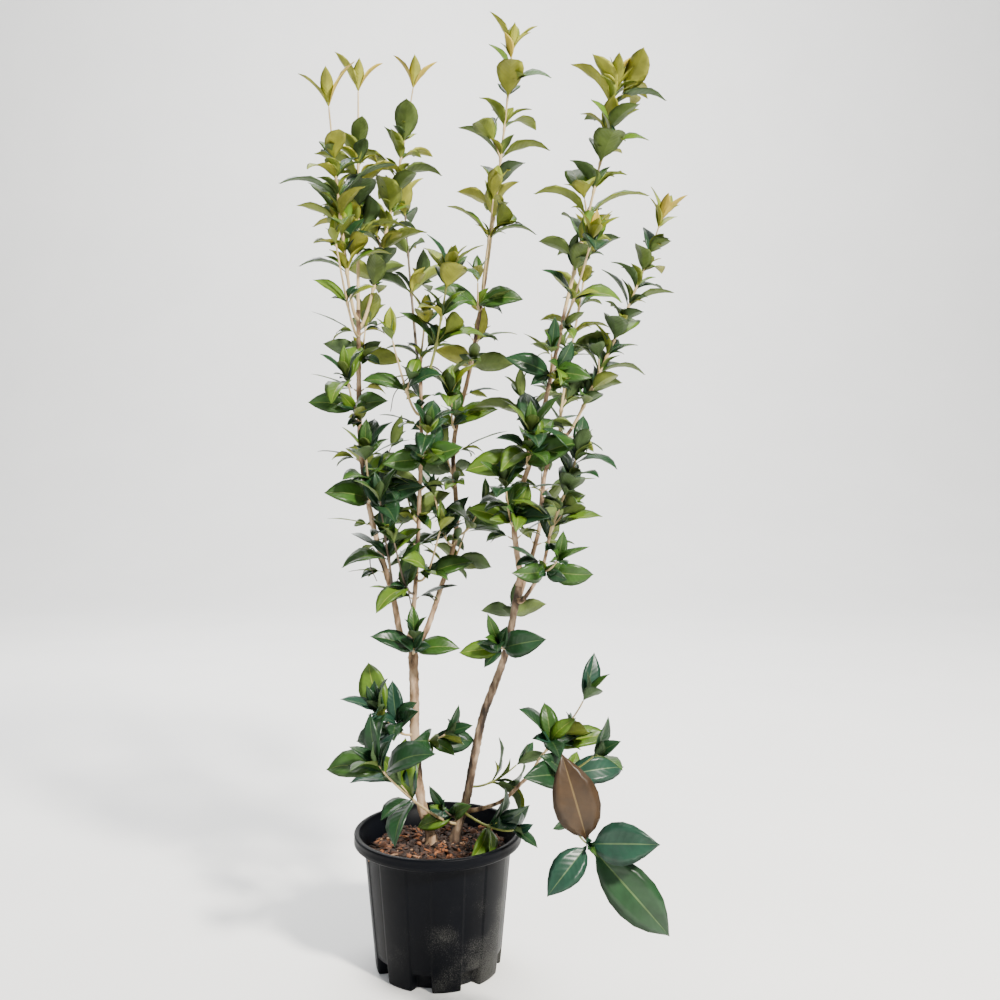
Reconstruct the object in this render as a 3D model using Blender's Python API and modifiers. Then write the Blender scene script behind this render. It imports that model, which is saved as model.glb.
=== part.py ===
# Potted osmanthus: two woody stems from one nursery pot, about 1.4 m tall.
# Metres, +Z up. The origin is the centre of the pot's flat underside, +X is to the right of the
# front view and -Y is towards the viewer.

import math
import random

import bmesh
import bpy
from mathutils import Vector
from mathutils.bvhtree import BVHTree

CLEAR = 0.0003
UP = Vector((0.0, 0.0, 1.0))

# The pot
POT_HEIGHT = 0.205
RIM_RADIUS = 0.125
RIM_MOUTH = 0.117
WALL_TOP_RADIUS = 0.110
WALL_TOP_HEIGHT = 0.187
FOOT_RADIUS = 0.0935
WALL = 0.0028
FOOT_HEIGHT = 0.024
FOOT_RECESS = 0.0145
FOOT_COUNT = 8
FOOT_STEPS = 3
GAP_STEPS = 3
FIRST_FOOT = math.radians(-79)
POT_STEPS = FOOT_COUNT * (FOOT_STEPS + GAP_STEPS)

# The potting mix and the stems' ground level
SOIL_LEVEL = 0.175
SOIL_STEPS = 36

# Stems are drawn in straight pieces of about these lengths
TRUNK_PIECE = 0.030
BOUGH_PIECE = 0.036
SHOOT_PIECE = 0.045
FLARE_HEIGHT = 0.014
FLARE = 0.5

# Leaves: the shares are of a leaf's own length
LEAF_WIDTH = 0.44
LEAF_FOLD = 0.07
LEAF_THICKNESS = 0.02
ROOT_DEPTH = 0.2
AXIL_RISE = 0.004
TWIG_SPREAD = 0.6
TIP_ROOT = 1.4
TIP_PAIRS = ((0.72, 0.8), (0.36, 0.62))
LEAF_SPREAD = math.radians(48)
LEAF_BEND = math.radians(34)

# Trunks stand on the mix: name, foot, turning points up to the fork, foot and tip radius
TRUNKS = (
    ("trunk_left", (-0.010, 0.008), ((-0.024, 0.009, 0.235), (-0.035, 0.012, 0.330),
                                     (-0.036, 0.015, 0.410), (-0.039, 0.020, 0.500)), 0.0075, 0.0072),
    ("trunk_right", (0.025, 0.020), ((0.041, 0.021, 0.240), (0.067, 0.015, 0.370),
                                     (0.100, 0.008, 0.465), (0.122, 0.000, 0.575)), 0.0070, 0.0052),
)

# Boughs: name, carrier, share of the carrier's length, turning points, foot and tip radius
BOUGHS = (
    ("bough_left", "trunk_left", 0.965,
     ((-0.068, 0.018, 0.555), (-0.093, 0.008, 0.650), (-0.111, 0.000, 0.760), (-0.112, -0.020, 0.975)),
     0.0048, 0.0032),
    ("bough_middle", "trunk_left", 1.0,
     ((-0.032, 0.008, 0.585), (-0.025, -0.020, 0.690), (-0.020, -0.040, 0.790), (-0.019, -0.060, 0.890)),
     0.0036, 0.0026),
    ("bough_right", "trunk_left", 0.965,
     ((0.002, 0.035, 0.560), (0.026, 0.050, 0.650), (0.022, 0.060, 0.780), (0.048, 0.060, 0.900),
      (0.072, 0.050, 1.040)),
     0.0042, 0.0028),
    ("bough_front", "trunk_right", 1.0,
     ((0.114, -0.018, 0.675), (0.141, -0.035, 0.770), (0.163, -0.045, 0.865), (0.186, -0.050, 0.975)),
     0.0044, 0.0028),
    ("bough_rear", "trunk_right", 0.955,
     ((0.152, 0.045, 0.650), (0.167, 0.080, 0.750), (0.204, 0.090, 0.805)),
     0.0036, 0.0028),
    ("bough_side", "trunk_right", 0.94,
     ((0.153, -0.030, 0.598), (0.164, -0.052, 0.650)),
     0.0030, 0.0024),
    ("bough_low", "trunk_right", 0.14,
     ((0.095, -0.015, 0.252), (0.130, -0.050, 0.296), (0.152, -0.078, 0.318)),
     0.0032, 0.0024),
)

# Leafy masses: name, carrier, share of the carrier's length, tip of the stem, bare foot, bare
# stretch below the tip, leafy nodes, twigs in the leaf axils of each node, leaf length and the
# first pair's turn in degrees, from 0 at the right and 90 at the back
MASSES = (
    ("leader_outer", "bough_left", 0.975, (-0.138, -0.110, 1.235), 0.070, 0.070, 4, 2, 0.070, 10),
    ("leader_left", "bough_left", 1.0, (-0.114, 0.010, 1.295), 0.105, 0.090, 4, 2, 0.064, 15),
    ("leader_inner", "bough_left", 0.950, (-0.040, 0.085, 1.325), 0.070, 0.090, 5, 2, 0.064, 80),
    ("shoot_outer", "bough_left", 0.925, (-0.128, -0.120, 1.050), 0.065, 0.020, 1, 0, 0.042, 0),
    ("spray_left_1", "bough_left", 0.18, (-0.076, -0.070, 0.700), 0.060, 0.015, 2, 1, 0.060, 30),
    ("spray_left_2", "bough_left", 0.44, (-0.098, -0.055, 0.765), 0.012, 0.010, 2, 1, 0.070, 5),
    ("spray_left_3", "bough_left", 0.50, (-0.074, 0.055, 0.775), 0.018, 0.010, 1, 1, 0.062, 0),
    ("spray_left_4", "bough_left", 0.71, (-0.124, -0.055, 0.875), 0.010, 0.012, 2, 0, 0.062, 0),
    ("spray_left_5", "bough_left", 0.86, (-0.108, 0.040, 0.965), 0.012, 0.012, 2, 0, 0.058, 20),
    ("top_middle", "bough_middle", 1.0, (-0.012, -0.072, 0.955), 0.010, 0.012, 2, 1, 0.052, 0),
    ("leader_front", "bough_middle", 0.955, (0.024, -0.125, 1.010), 0.060, 0.022, 2, 1, 0.062, 0),
    ("leader_back", "bough_middle", 0.930, (-0.056, 0.105, 1.160), 0.170, 0.030, 2, 1, 0.062, 0),
    ("spray_middle_1", "bough_middle", 0.15, (-0.058, -0.055, 0.640), 0.022, 0.010, 1, 0, 0.055, 60),
    ("spray_middle_2", "bough_middle", 0.20, (0.006, -0.030, 0.655), 0.022, 0.010, 1, 0, 0.055, 30),
    ("spray_middle_3", "bough_middle", 0.42, (-0.050, 0.035, 0.715), 0.012, 0.010, 1, 0, 0.058, 0),
    ("spray_middle_4", "bough_middle", 0.66, (-0.008, -0.085, 0.800), 0.012, 0.010, 2, 1, 0.055, 0),
    ("spray_middle_5", "bough_middle", 0.83, (-0.052, -0.125, 0.920), 0.050, 0.010, 1, 1, 0.050, 0),
    ("leader_right", "bough_right", 1.0, (0.111, 0.045, 1.365), 0.080, 0.068, 3, 3, 0.068, 85),
    ("shoot_right", "bough_right", 0.950, (0.083, -0.010, 1.135), 0.085, 0.010, 1, 1, 0.062, 0),
    ("spray_right_1", "bough_right", 0.22, (0.040, 0.075, 0.650), 0.012, 0.010, 1, 0, 0.048, 0),
    ("spray_right_2", "bough_right", 0.30, (0.066, 0.030, 0.690), 0.020, 0.010, 1, 0, 0.055, 20),
    ("spray_right_3", "bough_right", 0.27, (-0.004, 0.000, 0.705), 0.020, 0.010, 1, 1, 0.055, 45),
    ("spray_right_4", "bough_right", 0.46, (0.008, 0.100, 0.775), 0.012, 0.010, 1, 0, 0.055, 0),
    ("spray_right_5", "bough_right", 0.58, (0.020, 0.020, 0.855), 0.012, 0.012, 2, 2, 0.062, 0),
    ("spray_right_6", "bough_right", 0.75, (0.058, 0.100, 0.940), 0.012, 0.010, 1, 0, 0.058, 0),
    ("spray_right_7", "bough_right", 0.90, (0.060, 0.020, 1.020), 0.012, 0.010, 1, 0, 0.055, 0),
    ("leader_front_right", "bough_front", 1.0, (0.252, -0.060, 1.270), 0.050, 0.020, 4, 4, 0.072, 85),
    ("shoot_front_right", "bough_front", 0.940, (0.216, -0.120, 1.055), 0.045, 0.012, 2, 0, 0.058, 0),
    ("spray_front_1", "bough_front", 0.22, (0.100, -0.080, 0.725), 0.018, 0.010, 2, 1, 0.062, 0),
    ("spray_front_2", "bough_front", 0.44, (0.135, -0.085, 0.795), 0.012, 0.010, 2, 1, 0.074, 10),
    ("spray_front_3", "bough_front", 0.55, (0.126, -0.015, 0.845), 0.030, 0.010, 1, 0, 0.062, 0),
    ("spray_front_4", "bough_front", 0.76, (0.164, -0.100, 0.905), 0.012, 0.010, 1, 1, 0.056, 0),
    ("leader_rear", "bough_rear", 0.93, (0.234, 0.140, 1.100), 0.045, 0.025, 4, 2, 0.060, 40),
    ("leader_far_right", "bough_rear", 1.0, (0.336, 0.060, 1.118), 0.040, 0.080, 5, 2, 0.062, 70),
    ("spray_rear", "bough_rear", 0.45, (0.160, 0.135, 0.735), 0.018, 0.010, 1, 1, 0.060, 0),
    ("leader_side", "bough_side", 1.0, (0.200, -0.085, 0.765), 0.012, 0.012, 3, 1, 0.064, 0),
    ("spray_side", "bough_side", 0.60, (0.172, -0.105, 0.620), 0.016, 0.010, 1, 0, 0.052, 0),
    ("spray_low_left", "trunk_right", 0.075, (-0.074, -0.115, 0.335), 0.110, 0.018, 2, 1, 0.090, 80),
    ("spray_trunk_left_1", "trunk_left", 0.53, (-0.080, -0.035, 0.390), 0.020, 0.012, 2, 1, 0.080, 0),
    ("spray_trunk_left_2", "trunk_left", 0.50, (0.012, -0.025, 0.355), 0.016, 0.012, 1, 1, 0.074, 10),
    ("spray_fork", "trunk_left", 0.90, (-0.034, -0.012, 0.492), 0.012, 0.006, 1, 0, 0.070, 0),
    ("spray_foot", "trunk_right", 0.105, (0.012, -0.022, 0.240), 0.014, 0.010, 1, 0, 0.056, 20),
    ("spray_rim", "trunk_right", 0.125, (0.112, -0.085, 0.234), 0.060, 0.012, 1, 1, 0.068, 30),
    ("spray_foot_right", "trunk_right", 0.22, (0.118, 0.045, 0.288), 0.030, 0.012, 1, 1, 0.068, 20),
    ("spray_trunk_right_1", "trunk_right", 0.76, (0.092, -0.030, 0.490), 0.014, 0.008, 1, 0, 0.066, 10),
    ("spray_trunk_right_2", "trunk_right", 0.86, (0.114, 0.034, 0.530), 0.014, 0.008, 1, 0, 0.052, 0),
    ("shoot_low_right", "bough_low", 0.88, (0.208, -0.110, 0.425), 0.045, 0.016, 1, 2, 0.082, 0),
    ("shoot_low_front", "bough_low", 1.0, (0.200, -0.300, 0.296), 0.130, 0.016, 1, 0, 0.115, 20),
    ("shoot_low_outer", "bough_low", 0.97, (0.218, -0.160, 0.362), 0.045, 0.012, 1, 0, 0.086, 10),
)


def plain_material(name, colour, roughness):
    material = bpy.data.materials.new(name)
    material.use_nodes = True
    shader = material.node_tree.nodes["Principled BSDF"]
    shader.inputs["Base Color"].default_value = (*colour, 1.0)
    shader.inputs["Roughness"].default_value = roughness
    return material


def new_object(name, mesh, collection, material=None):
    body = bpy.data.objects.new(name, mesh)
    collection.objects.link(body)
    if material:
        mesh.materials.clear()
        mesh.materials.append(material)
    return body


def evaluated_mesh(body):
    """The mesh of an object with its modifiers or its bevel worked in."""
    bpy.context.view_layer.update()
    graph = bpy.context.evaluated_depsgraph_get()
    return bpy.data.meshes.new_from_object(body.evaluated_get(graph))


def closed(mesh):
    """Welds loose caps and turns every face outwards."""
    work = bmesh.new()
    work.from_mesh(mesh)
    bmesh.ops.remove_doubles(work, verts=work.verts, dist=1e-6)
    bmesh.ops.recalc_face_normals(work, faces=work.faces)
    work.to_mesh(mesh)
    work.free()
    return mesh


def turned(name, profile, steps, start, collection):
    """A profile of (radius, height) points, top to bottom on the outer side, turned about Z."""
    mesh = bpy.data.meshes.new(name)
    points = [(r * math.cos(start), r * math.sin(start), z) for r, z in profile]
    mesh.from_pydata(points, [(i, i + 1) for i in range(len(points) - 1)], [])
    body = new_object(name, mesh, collection)
    screw = body.modifiers.new("Turn", "SCREW")
    screw.axis = "Z"
    screw.steps = steps
    screw.render_steps = steps
    screw.use_merge_vertices = True
    screw.merge_threshold = 0.00005
    body.data = closed(evaluated_mesh(body))
    body.modifiers.clear()
    bpy.data.meshes.remove(mesh)
    return body


def in_foot_gap(x, y):
    """True between two feet of the pot, away from their edges."""
    sector = 2 * math.pi / FOOT_COUNT
    offset = (math.atan2(y, x) - FIRST_FOOT + sector / 2) % sector - sector / 2
    return abs(offset) > (FOOT_STEPS / 2 + 0.5) * 2 * math.pi / POT_STEPS


def inner_wall(height):
    """The pot's inner radius at a height between its ledge and its rim."""
    rise = (height - FOOT_HEIGHT) / (WALL_TOP_HEIGHT - FOOT_HEIGHT)
    return FOOT_RADIUS + rise * (WALL_TOP_RADIUS - FOOT_RADIUS) - WALL


def make_pot(collection, material):
    ledge = FOOT_HEIGHT + 2 * WALL
    lip = 0.0025
    profile = (
        (0.0, WALL),
        (FOOT_RADIUS - FOOT_RECESS - WALL - 0.002, WALL),
        (FOOT_RADIUS - WALL - 0.001, WALL),
        (FOOT_RADIUS - WALL - 0.0005, FOOT_HEIGHT + WALL - 0.0005),
        (inner_wall(ledge), ledge),
        (inner_wall(WALL_TOP_HEIGHT), WALL_TOP_HEIGHT),
        (RIM_MOUTH - lip / 2, POT_HEIGHT - lip / 2),
        (RIM_MOUTH + lip / 2, POT_HEIGHT),
        (RIM_RADIUS - lip, POT_HEIGHT),
        (RIM_RADIUS, POT_HEIGHT - lip),
        (RIM_RADIUS, POT_HEIGHT - 5 * lip),
        (RIM_RADIUS - lip, POT_HEIGHT - 6.5 * lip),
        (WALL_TOP_RADIUS, WALL_TOP_HEIGHT),
        (FOOT_RADIUS + 0.0003, FOOT_HEIGHT + WALL),
        (FOOT_RADIUS, FOOT_HEIGHT - 0.0005),
        (FOOT_RADIUS - 0.001, 0.0),
        (FOOT_RADIUS - FOOT_RECESS - 0.003, 0.0),
        (0.0, 0.0),
    )
    half_step = math.pi / POT_STEPS
    pot = turned("pot", profile, POT_STEPS, FIRST_FOOT + half_step, collection)
    for vertex in pot.data.vertices:
        x, y, z = vertex.co
        radius = math.hypot(x, y)
        outer_foot = radius > FOOT_RADIUS - WALL - 0.002
        if outer_foot and z < FOOT_HEIGHT + WALL - 0.0003 and in_foot_gap(x, y):
            shrink = (radius - FOOT_RECESS) / radius
            vertex.co = (x * shrink, y * shrink, z)
    pot.data.materials.append(material)
    pot.data.shade_smooth()
    pot.data.set_sharp_from_angle(angle=math.radians(35))
    return pot


def make_soil(collection, material):
    """The mix fills the pot from its floor, clear of the wall all round."""
    ledge = FOOT_HEIGHT + 2 * WALL + CLEAR
    edge_level = SOIL_LEVEL - 0.003
    plug = FOOT_RADIUS - FOOT_RECESS - WALL - 0.0025
    profile = (
        (0.0, SOIL_LEVEL),
        (0.085, SOIL_LEVEL),
        (inner_wall(edge_level) - 2 * CLEAR, edge_level),
        (inner_wall(ledge) - 2 * CLEAR, ledge),
        (plug, ledge),
        (plug, WALL + CLEAR),
        (0.0, WALL + CLEAR),
    )
    soil = turned("soil", profile, SOIL_STEPS, 0.0, collection)
    soil.data.materials.append(material)
    return soil


def mix(a, b, part):
    return a + (b - a) * part


def smooth_path(points, pieces=12):
    """A centripetal Catmull-Rom curve through the points, as short straight pieces."""
    ends = [points[0] * 2 - points[1], *points, points[-1] * 2 - points[-2]]
    path = [points[0]]
    for four in zip(ends, ends[1:], ends[2:], ends[3:]):
        knots = [0.0]
        for a, b in zip(four, four[1:]):
            knots.append(knots[-1] + math.sqrt((b - a).length))
        for i in range(1, pieces + 1):
            t = knots[1] + (knots[2] - knots[1]) * i / pieces
            first = [mix(four[j], four[j + 1], (t - knots[j]) / (knots[j + 1] - knots[j])) for j in range(3)]
            second = [mix(first[j], first[j + 1], (t - knots[j]) / (knots[j + 2] - knots[j])) for j in (0, 1)]
            path.append(mix(*second, (t - knots[1]) / (knots[2] - knots[1])))
    return path


def carried_path(start, outward, turns, lead):
    """A bough leaves its carrier outwards for a short lead and then follows its turning points."""
    return smooth_path([start, start + lead * outward, *turns])


def swept_path(start, outward, tip, pieces=24):
    """A stem that leaves its carrier outwards and then sweeps up to its tip."""
    chord = tip - start
    reach = min(0.3 * chord.length, 0.022)
    rise = (chord.normalized() + 0.35 * UP).normalized()
    handles = (start, start + reach * outward, tip - 0.35 * chord.length * rise, tip)
    path = []
    for i in range(pieces + 1):
        t = i / pieces
        weights = ((1 - t)**3, 3 * t * (1 - t)**2, 3 * t**2 * (1 - t), t**3)
        path.append(sum((w * h for w, h in zip(weights, handles)), Vector()))
    return path


class Limb:
    """A tapering stem of straight pieces, with places on it given as a share of its length."""

    def __init__(self, path, foot, tip, spacing, bare=0.0, flare=0.0):
        """Keeps the first stretch, which faces the carrier, and divides the rest evenly."""
        self.flare = flare
        runs = [0.0]
        for a, b in zip(path, path[1:]):
            runs.append(runs[-1] + (b - a).length)
        count = max(1, round((runs[-1] - bare) / spacing))
        wanted = [0.0] + [bare + (runs[-1] - bare) * i / count for i in range(not bare, count + 1)]
        self.path = [point_along(path, runs, run) for run in wanted]
        self.foot = foot
        self.tip = tip
        self.runs = [0.0]
        for a, b in zip(self.path, self.path[1:]):
            self.runs.append(self.runs[-1] + (b - a).length)
        self.length = self.runs[-1]

    def at(self, share):
        """Place, direction and radius at a share of the length."""
        run = min(max(share, 0.0), 1.0) * self.length
        place = point_along(self.path, self.runs, run)
        after = next(i for i, end in enumerate(self.runs) if end >= run - 1e-9 and i)
        along = (self.path[after] - self.path[after - 1]).normalized()
        return place, along, self.radius(share)

    def radius(self, share):
        flared = 1 + self.flare * math.exp(-share * self.length / FLARE_HEIGHT)
        return (self.foot + (self.tip - self.foot) * share) * flared


def point_along(path, runs, run):
    for a, b, start, end in zip(path, path[1:], runs, runs[1:]):
        if run <= end or b is path[-1]:
            return a.lerp(b, min((run - start) / (end - start), 1.0))


def leave(carrier, share, goal):
    """Where a stem starts on its carrier, 0.3 mm clear, and its first direction."""
    place, along, radius = carrier.at(share)
    if share >= 1.0:
        return place + CLEAR * along, along
    towards = goal - place
    outward = (towards - towards.dot(along) * along).normalized()
    return place + (radius + CLEAR) * outward, outward


def tube(name, centres, radii, sides, collection):
    """A solid limb: a straight-pieced curve with a round or three-sided bevel, as a mesh."""
    curve = bpy.data.curves.new(name, "CURVE")
    curve.dimensions = "3D"
    curve.use_fill_caps = True
    if sides == 3:
        curve.bevel_mode = "OBJECT"
        curve.bevel_object = bpy.data.objects["triangle"]
    else:
        curve.bevel_depth = 1.0
        curve.bevel_resolution = (sides - 4) // 2
    spline = curve.splines.new("POLY")
    spline.points.add(len(centres) - 1)
    for point, centre, radius in zip(spline.points, centres, radii):
        point.co = (*centre, 1.0)
        point.radius = radius
    guide = bpy.data.objects.new(name + "_curve", curve)
    collection.objects.link(guide)
    mesh = closed(evaluated_mesh(guide))
    mesh.name = name
    bpy.data.objects.remove(guide)
    bpy.data.curves.remove(curve)
    return mesh


def limb_mesh(name, limb, sides, collection):
    radii = [limb.radius(run / limb.length) for run in limb.runs]
    return tube(name, limb.path, radii, sides, collection)


def tree_of(mesh):
    points = [v.co.copy() for v in mesh.vertices]
    return BVHTree.FromPolygons(points, [tuple(p.vertices) for p in mesh.polygons])


def middle_and_reach(mesh):
    points = [v.co for v in mesh.vertices]
    middle = sum(points, Vector()) / len(points)
    return middle, max((p - middle).length for p in points)


class Occupied:
    """The solids placed so far, each with its owner, to test new pieces against."""

    def __init__(self):
        self.pieces = []

    def add(self, mesh, owner):
        self.pieces.append((owner, tree_of(mesh), *middle_and_reach(mesh)))

    def hit(self, mesh, owner):
        tree = tree_of(mesh)
        middle, reach = middle_and_reach(mesh)
        for other, other_tree, other_middle, other_reach in self.pieces:
            if other == owner:
                continue
            if (middle - other_middle).length < reach + other_reach and tree.overlap(other_tree):
                return other
        return None


def leaf_mesh(root, along, face, length, bend, thick=1.0):
    """A folded, arching leaf of eight faces, from a sphere of four by two segments."""
    side = face.cross(along)
    drooped = math.cos(bend) * along - math.sin(bend) * face
    middle = root + 0.5 * length * along
    half_width = 0.5 * LEAF_WIDTH * length
    lifted = LEAF_FOLD * length * face
    half_thick = 0.5 * LEAF_THICKNESS * length * thick * face
    corners = {
        (0, 0, -1): root,
        (0, 0, 1): middle + 0.5 * length * drooped,
        (1, 0, 0): middle + half_width * side + lifted,
        (-1, 0, 0): middle - half_width * side + lifted,
        (0, 1, 0): middle + half_thick,
        (0, -1, 0): middle - half_thick,
    }
    work = bmesh.new()
    bmesh.ops.create_uvsphere(work, u_segments=4, v_segments=2, radius=1.0)
    for vertex in work.verts:
        vertex.co = corners[tuple(round(c) for c in vertex.co)]
    mesh = bpy.data.meshes.new("leaf")
    work.to_mesh(mesh)
    work.free()
    return mesh


def around(along, turn):
    """The direction square to a stem at a turn from the right of the front view."""
    right = Vector((1.0, 0.0, 0.0))
    first = (right - right.dot(along) * along).normalized()
    return math.cos(turn) * first + math.sin(turn) * along.cross(first)


def leaf_places(stem, bare, gap, nodes, twigs, leaf, turn, chance):
    """The growth rule: yields (node, root, along, outward, spread, length, radius, side twig)."""
    leafy = stem.length - bare - gap
    for node in range(nodes):
        run = bare + leafy * node / max(nodes - 1, 1)
        place, along, radius = stem.at(run / stem.length)
        swell = 0.85 + 0.3 * math.sin(math.pi * (node + 0.5) / nodes)
        pair_turn = turn + node * math.pi / 2 + chance.uniform(-0.25, 0.25)
        for half in (0, 1):
            outward = around(along, pair_turn + half * math.pi)
            spread = LEAF_SPREAD * chance.uniform(0.8, 1.2)
            length = leaf * swell * chance.uniform(0.88, 1.08)
            yield node, place, along, outward, spread, length, radius, None
            twig_length = leaf * chance.uniform(0.22, 0.32)
            pair = [chance.uniform(0.7, 0.9) * leaf for _ in range(2)]
            if node + half * nodes < twigs:
                axil = place + AXIL_RISE * along
                outward = around(along, pair_turn + half * math.pi + 0.5)
                rise = (math.cos(TWIG_SPREAD) * along + math.sin(TWIG_SPREAD) * outward).normalized()
                twig_tip = axil + twig_length * rise
                twig = Limb([axil, twig_tip], 0.8 * radius, 0.6 * radius, twig_length)
                for step, size in enumerate(pair):
                    beside = around(rise, pair_turn + (step + 0.5) * math.pi)
                    root = twig_tip - TIP_ROOT * twig.tip * rise
                    yield node, root, rise, beside, 0.8 * LEAF_SPREAD, size, twig.tip, twig
    place, along, radius = stem.at(1.0)
    for pair, (spread, size) in enumerate(TIP_PAIRS):
        pair_turn = turn + (nodes + pair) * math.pi / 2 + chance.uniform(-0.2, 0.2)
        for half in (0, 1):
            outward = around(along, pair_turn + half * math.pi)
            length = leaf * size * chance.uniform(0.85, 1.1)
            yield nodes, place - TIP_ROOT * radius * along, along, outward, spread, length, radius, None


def leaf_that_fits(root, along, outward, spread, length, radius, blocked, bends):
    """A leaf that keeps clear, tried at three tilts, or nothing."""
    for bend, tilt_share, size_share in zip(bends, (1.0, 0.75, 1.2), (1.0, 0.92, 0.85)):
        tilt = spread * tilt_share
        direction = math.cos(tilt) * along + math.sin(tilt) * outward
        face = math.cos(tilt) * -outward + math.sin(tilt) * along
        base = root - ROOT_DEPTH * radius * direction
        size = length * size_share
        leaf = leaf_mesh(base, direction, face, size, bend)
        wide = leaf_mesh(base, direction, face, size * 1.03, bend, 3.0)
        clear = not blocked(leaf) and not blocked(wide)
        bpy.data.meshes.remove(wide)
        if clear:
            return leaf
        bpy.data.meshes.remove(leaf)
    return None


def grow_leaves(name, stem, rule, occupied, seed):
    """The side twigs and leaves of one mass that fit their space, as meshes."""
    chance = random.Random(seed)
    guides = bpy.data.collections["guides"]
    own = Occupied()
    twigs = {}
    kept = []
    skipped = 0
    for node, root, along, outward, spread, length, radius, twig in leaf_places(stem, *rule, chance):
        bends = [LEAF_BEND * chance.uniform(0.7, 1.3) for _ in range(3)]
        if twig is not None and id(twig) not in twigs:
            wide = tube("twig", twig.path, (1.4 * twig.foot, 1.4 * twig.tip), 3, guides)
            twigs[id(twig)] = None
            if not occupied.hit(wide, name):
                twigs[id(twig)] = tube("twig", twig.path, (twig.foot, twig.tip), 3, guides)
        leaf = None
        if twig is None or twigs[id(twig)]:
            leaf = leaf_that_fits(root, along, outward, spread, length, radius,
                                  lambda shape: occupied.hit(shape, name) or own.hit(shape, node), bends)
        if leaf:
            own.add(leaf, node)
            kept.append(leaf)
        else:
            skipped += 1
    print(f"{name}: {len(kept)} leaves, {skipped} skipped")
    return [shape for shape in twigs.values() if shape], kept


def join_pieces(body, pieces):
    """One Boolean union on a collection joins the leaves and side twigs to their stem."""
    gathered = bpy.data.collections.new("pieces")
    bpy.context.scene.collection.children.link(gathered)
    for shape in pieces:
        new_object("piece", shape, gathered)
    union = body.modifiers.new("Join", "BOOLEAN")
    union.operation = "UNION"
    union.operand_type = "COLLECTION"
    union.collection = gathered
    union.solver = "MANIFOLD"
    joined = evaluated_mesh(body)
    body.modifiers.clear()
    old = body.data
    body.data = joined
    bpy.data.meshes.remove(old)
    for piece in list(gathered.objects):
        shape = piece.data
        bpy.data.objects.remove(piece)
        bpy.data.meshes.remove(shape)
    bpy.data.collections.remove(gathered)


def drop_scraps(mesh):
    """Keeps the largest of the bodies that a union left."""
    work = bmesh.new()
    work.from_mesh(mesh)
    unseen = set(work.verts)
    islands = []
    while unseen:
        island = [unseen.pop()]
        for vertex in island:
            for edge in vertex.link_edges:
                other = edge.other_vert(vertex)
                if other in unseen:
                    unseen.remove(other)
                    island.append(other)
        islands.append(island)
    islands.sort(key=len)
    for island in islands[:-1]:
        bmesh.ops.delete(work, geom=island, context="VERTS")
    work.to_mesh(mesh)
    work.free()
    return len(islands) - 1


def main():
    for body in list(bpy.data.objects):
        bpy.data.objects.remove(body)
    plant = bpy.data.collections.new("potted osmanthus")
    guides = bpy.data.collections.new("guides")
    for collection in (plant, guides):
        bpy.context.scene.collection.children.link(collection)

    triangle = bpy.data.curves.new("triangle", "CURVE")
    corners = triangle.splines.new("POLY")
    corners.points.add(2)
    corners.use_cyclic_u = True
    for i, point in enumerate(corners.points):
        turn = 2 * math.pi * i / 3
        point.co = (math.cos(turn), math.sin(turn), 0.0, 1.0)
    guide = bpy.data.objects.new("triangle", triangle)
    guide.hide_render = True
    guide.display_type = "WIRE"
    guides.objects.link(guide)

    plastic = plain_material("black plastic", (0.012, 0.013, 0.016), 0.5)
    mix = plain_material("potting mix", (0.060, 0.032, 0.020), 0.95)
    bark = plain_material("tan bark", (0.42, 0.30, 0.20), 0.85)
    foliage = plain_material("green leaf", (0.045, 0.12, 0.025), 0.4)

    occupied = Occupied()
    for body in (make_pot(plant, plastic), make_soil(plant, mix)):
        occupied.add(body.data, body.name)

    limbs = {}
    for name, (x, y), turns, foot, tip in TRUNKS:
        start = Vector((x, y, SOIL_LEVEL + CLEAR))
        path = carried_path(start, UP, [Vector(turn) for turn in turns], 0.012)
        limbs[name] = Limb(path, foot, tip, TRUNK_PIECE, 0.012, FLARE)
        new_object(name, limb_mesh(name, limbs[name], 8, guides), plant, bark)
    for name, carrier, share, turns, foot, tip in BOUGHS:
        start, outward = leave(limbs[carrier], share, Vector(turns[0]))
        lead = 1.5 * foot
        path = carried_path(start, outward, [Vector(turn) for turn in turns], lead)
        limbs[name] = Limb(path, foot, tip, BOUGH_PIECE, lead)
        new_object(name, limb_mesh(name, limbs[name], 6, guides), plant, bark)
    for name in limbs:
        mesh = bpy.data.objects[name].data
        other = occupied.hit(mesh, name)
        if other:
            print(f"CLASH {name} with {other}")
        occupied.add(mesh, name)

    stems = {}
    for name, carrier, share, tip, *rule in MASSES:
        goal = Vector(tip)
        start, outward = leave(limbs[carrier], share, goal)
        foot = min(0.0016 + 0.004 * (goal - start).length, 0.0026)
        path = swept_path(start, outward, goal)
        stem = Limb(path, foot, 0.0011, SHOOT_PIECE, foot)
        mesh = limb_mesh(name, stem, 3, guides)
        other = occupied.hit(mesh, name)
        if other:
            print(f"CLASH {name} with {other}")
        stems[name] = stem
        new_object(name, mesh, plant, foliage)
        occupied.add(mesh, name)

    total = 0
    for seed, (name, _, _, _, *rule) in enumerate(MASSES):
        rule[-1] = math.radians(rule[-1])
        twigs, leaves = grow_leaves(name, stems[name], rule, occupied, seed)
        for shape in twigs + leaves:
            occupied.add(shape, name)
        total += len(leaves)
        body = bpy.data.objects[name]
        join_pieces(body, twigs + leaves)
        scraps = drop_scraps(body.data)
        if scraps:
            print(f"{name}: {scraps} scraps dropped")
    print("leaves:", total)


main()
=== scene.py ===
# Potted osmanthus: two stems from one black nursery pot, leaves in pairs and tufts up every shoot.
# Metres, +Z up, origin at the middle of the pot's underside, -Y towards the viewer.

import math
import random

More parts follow.
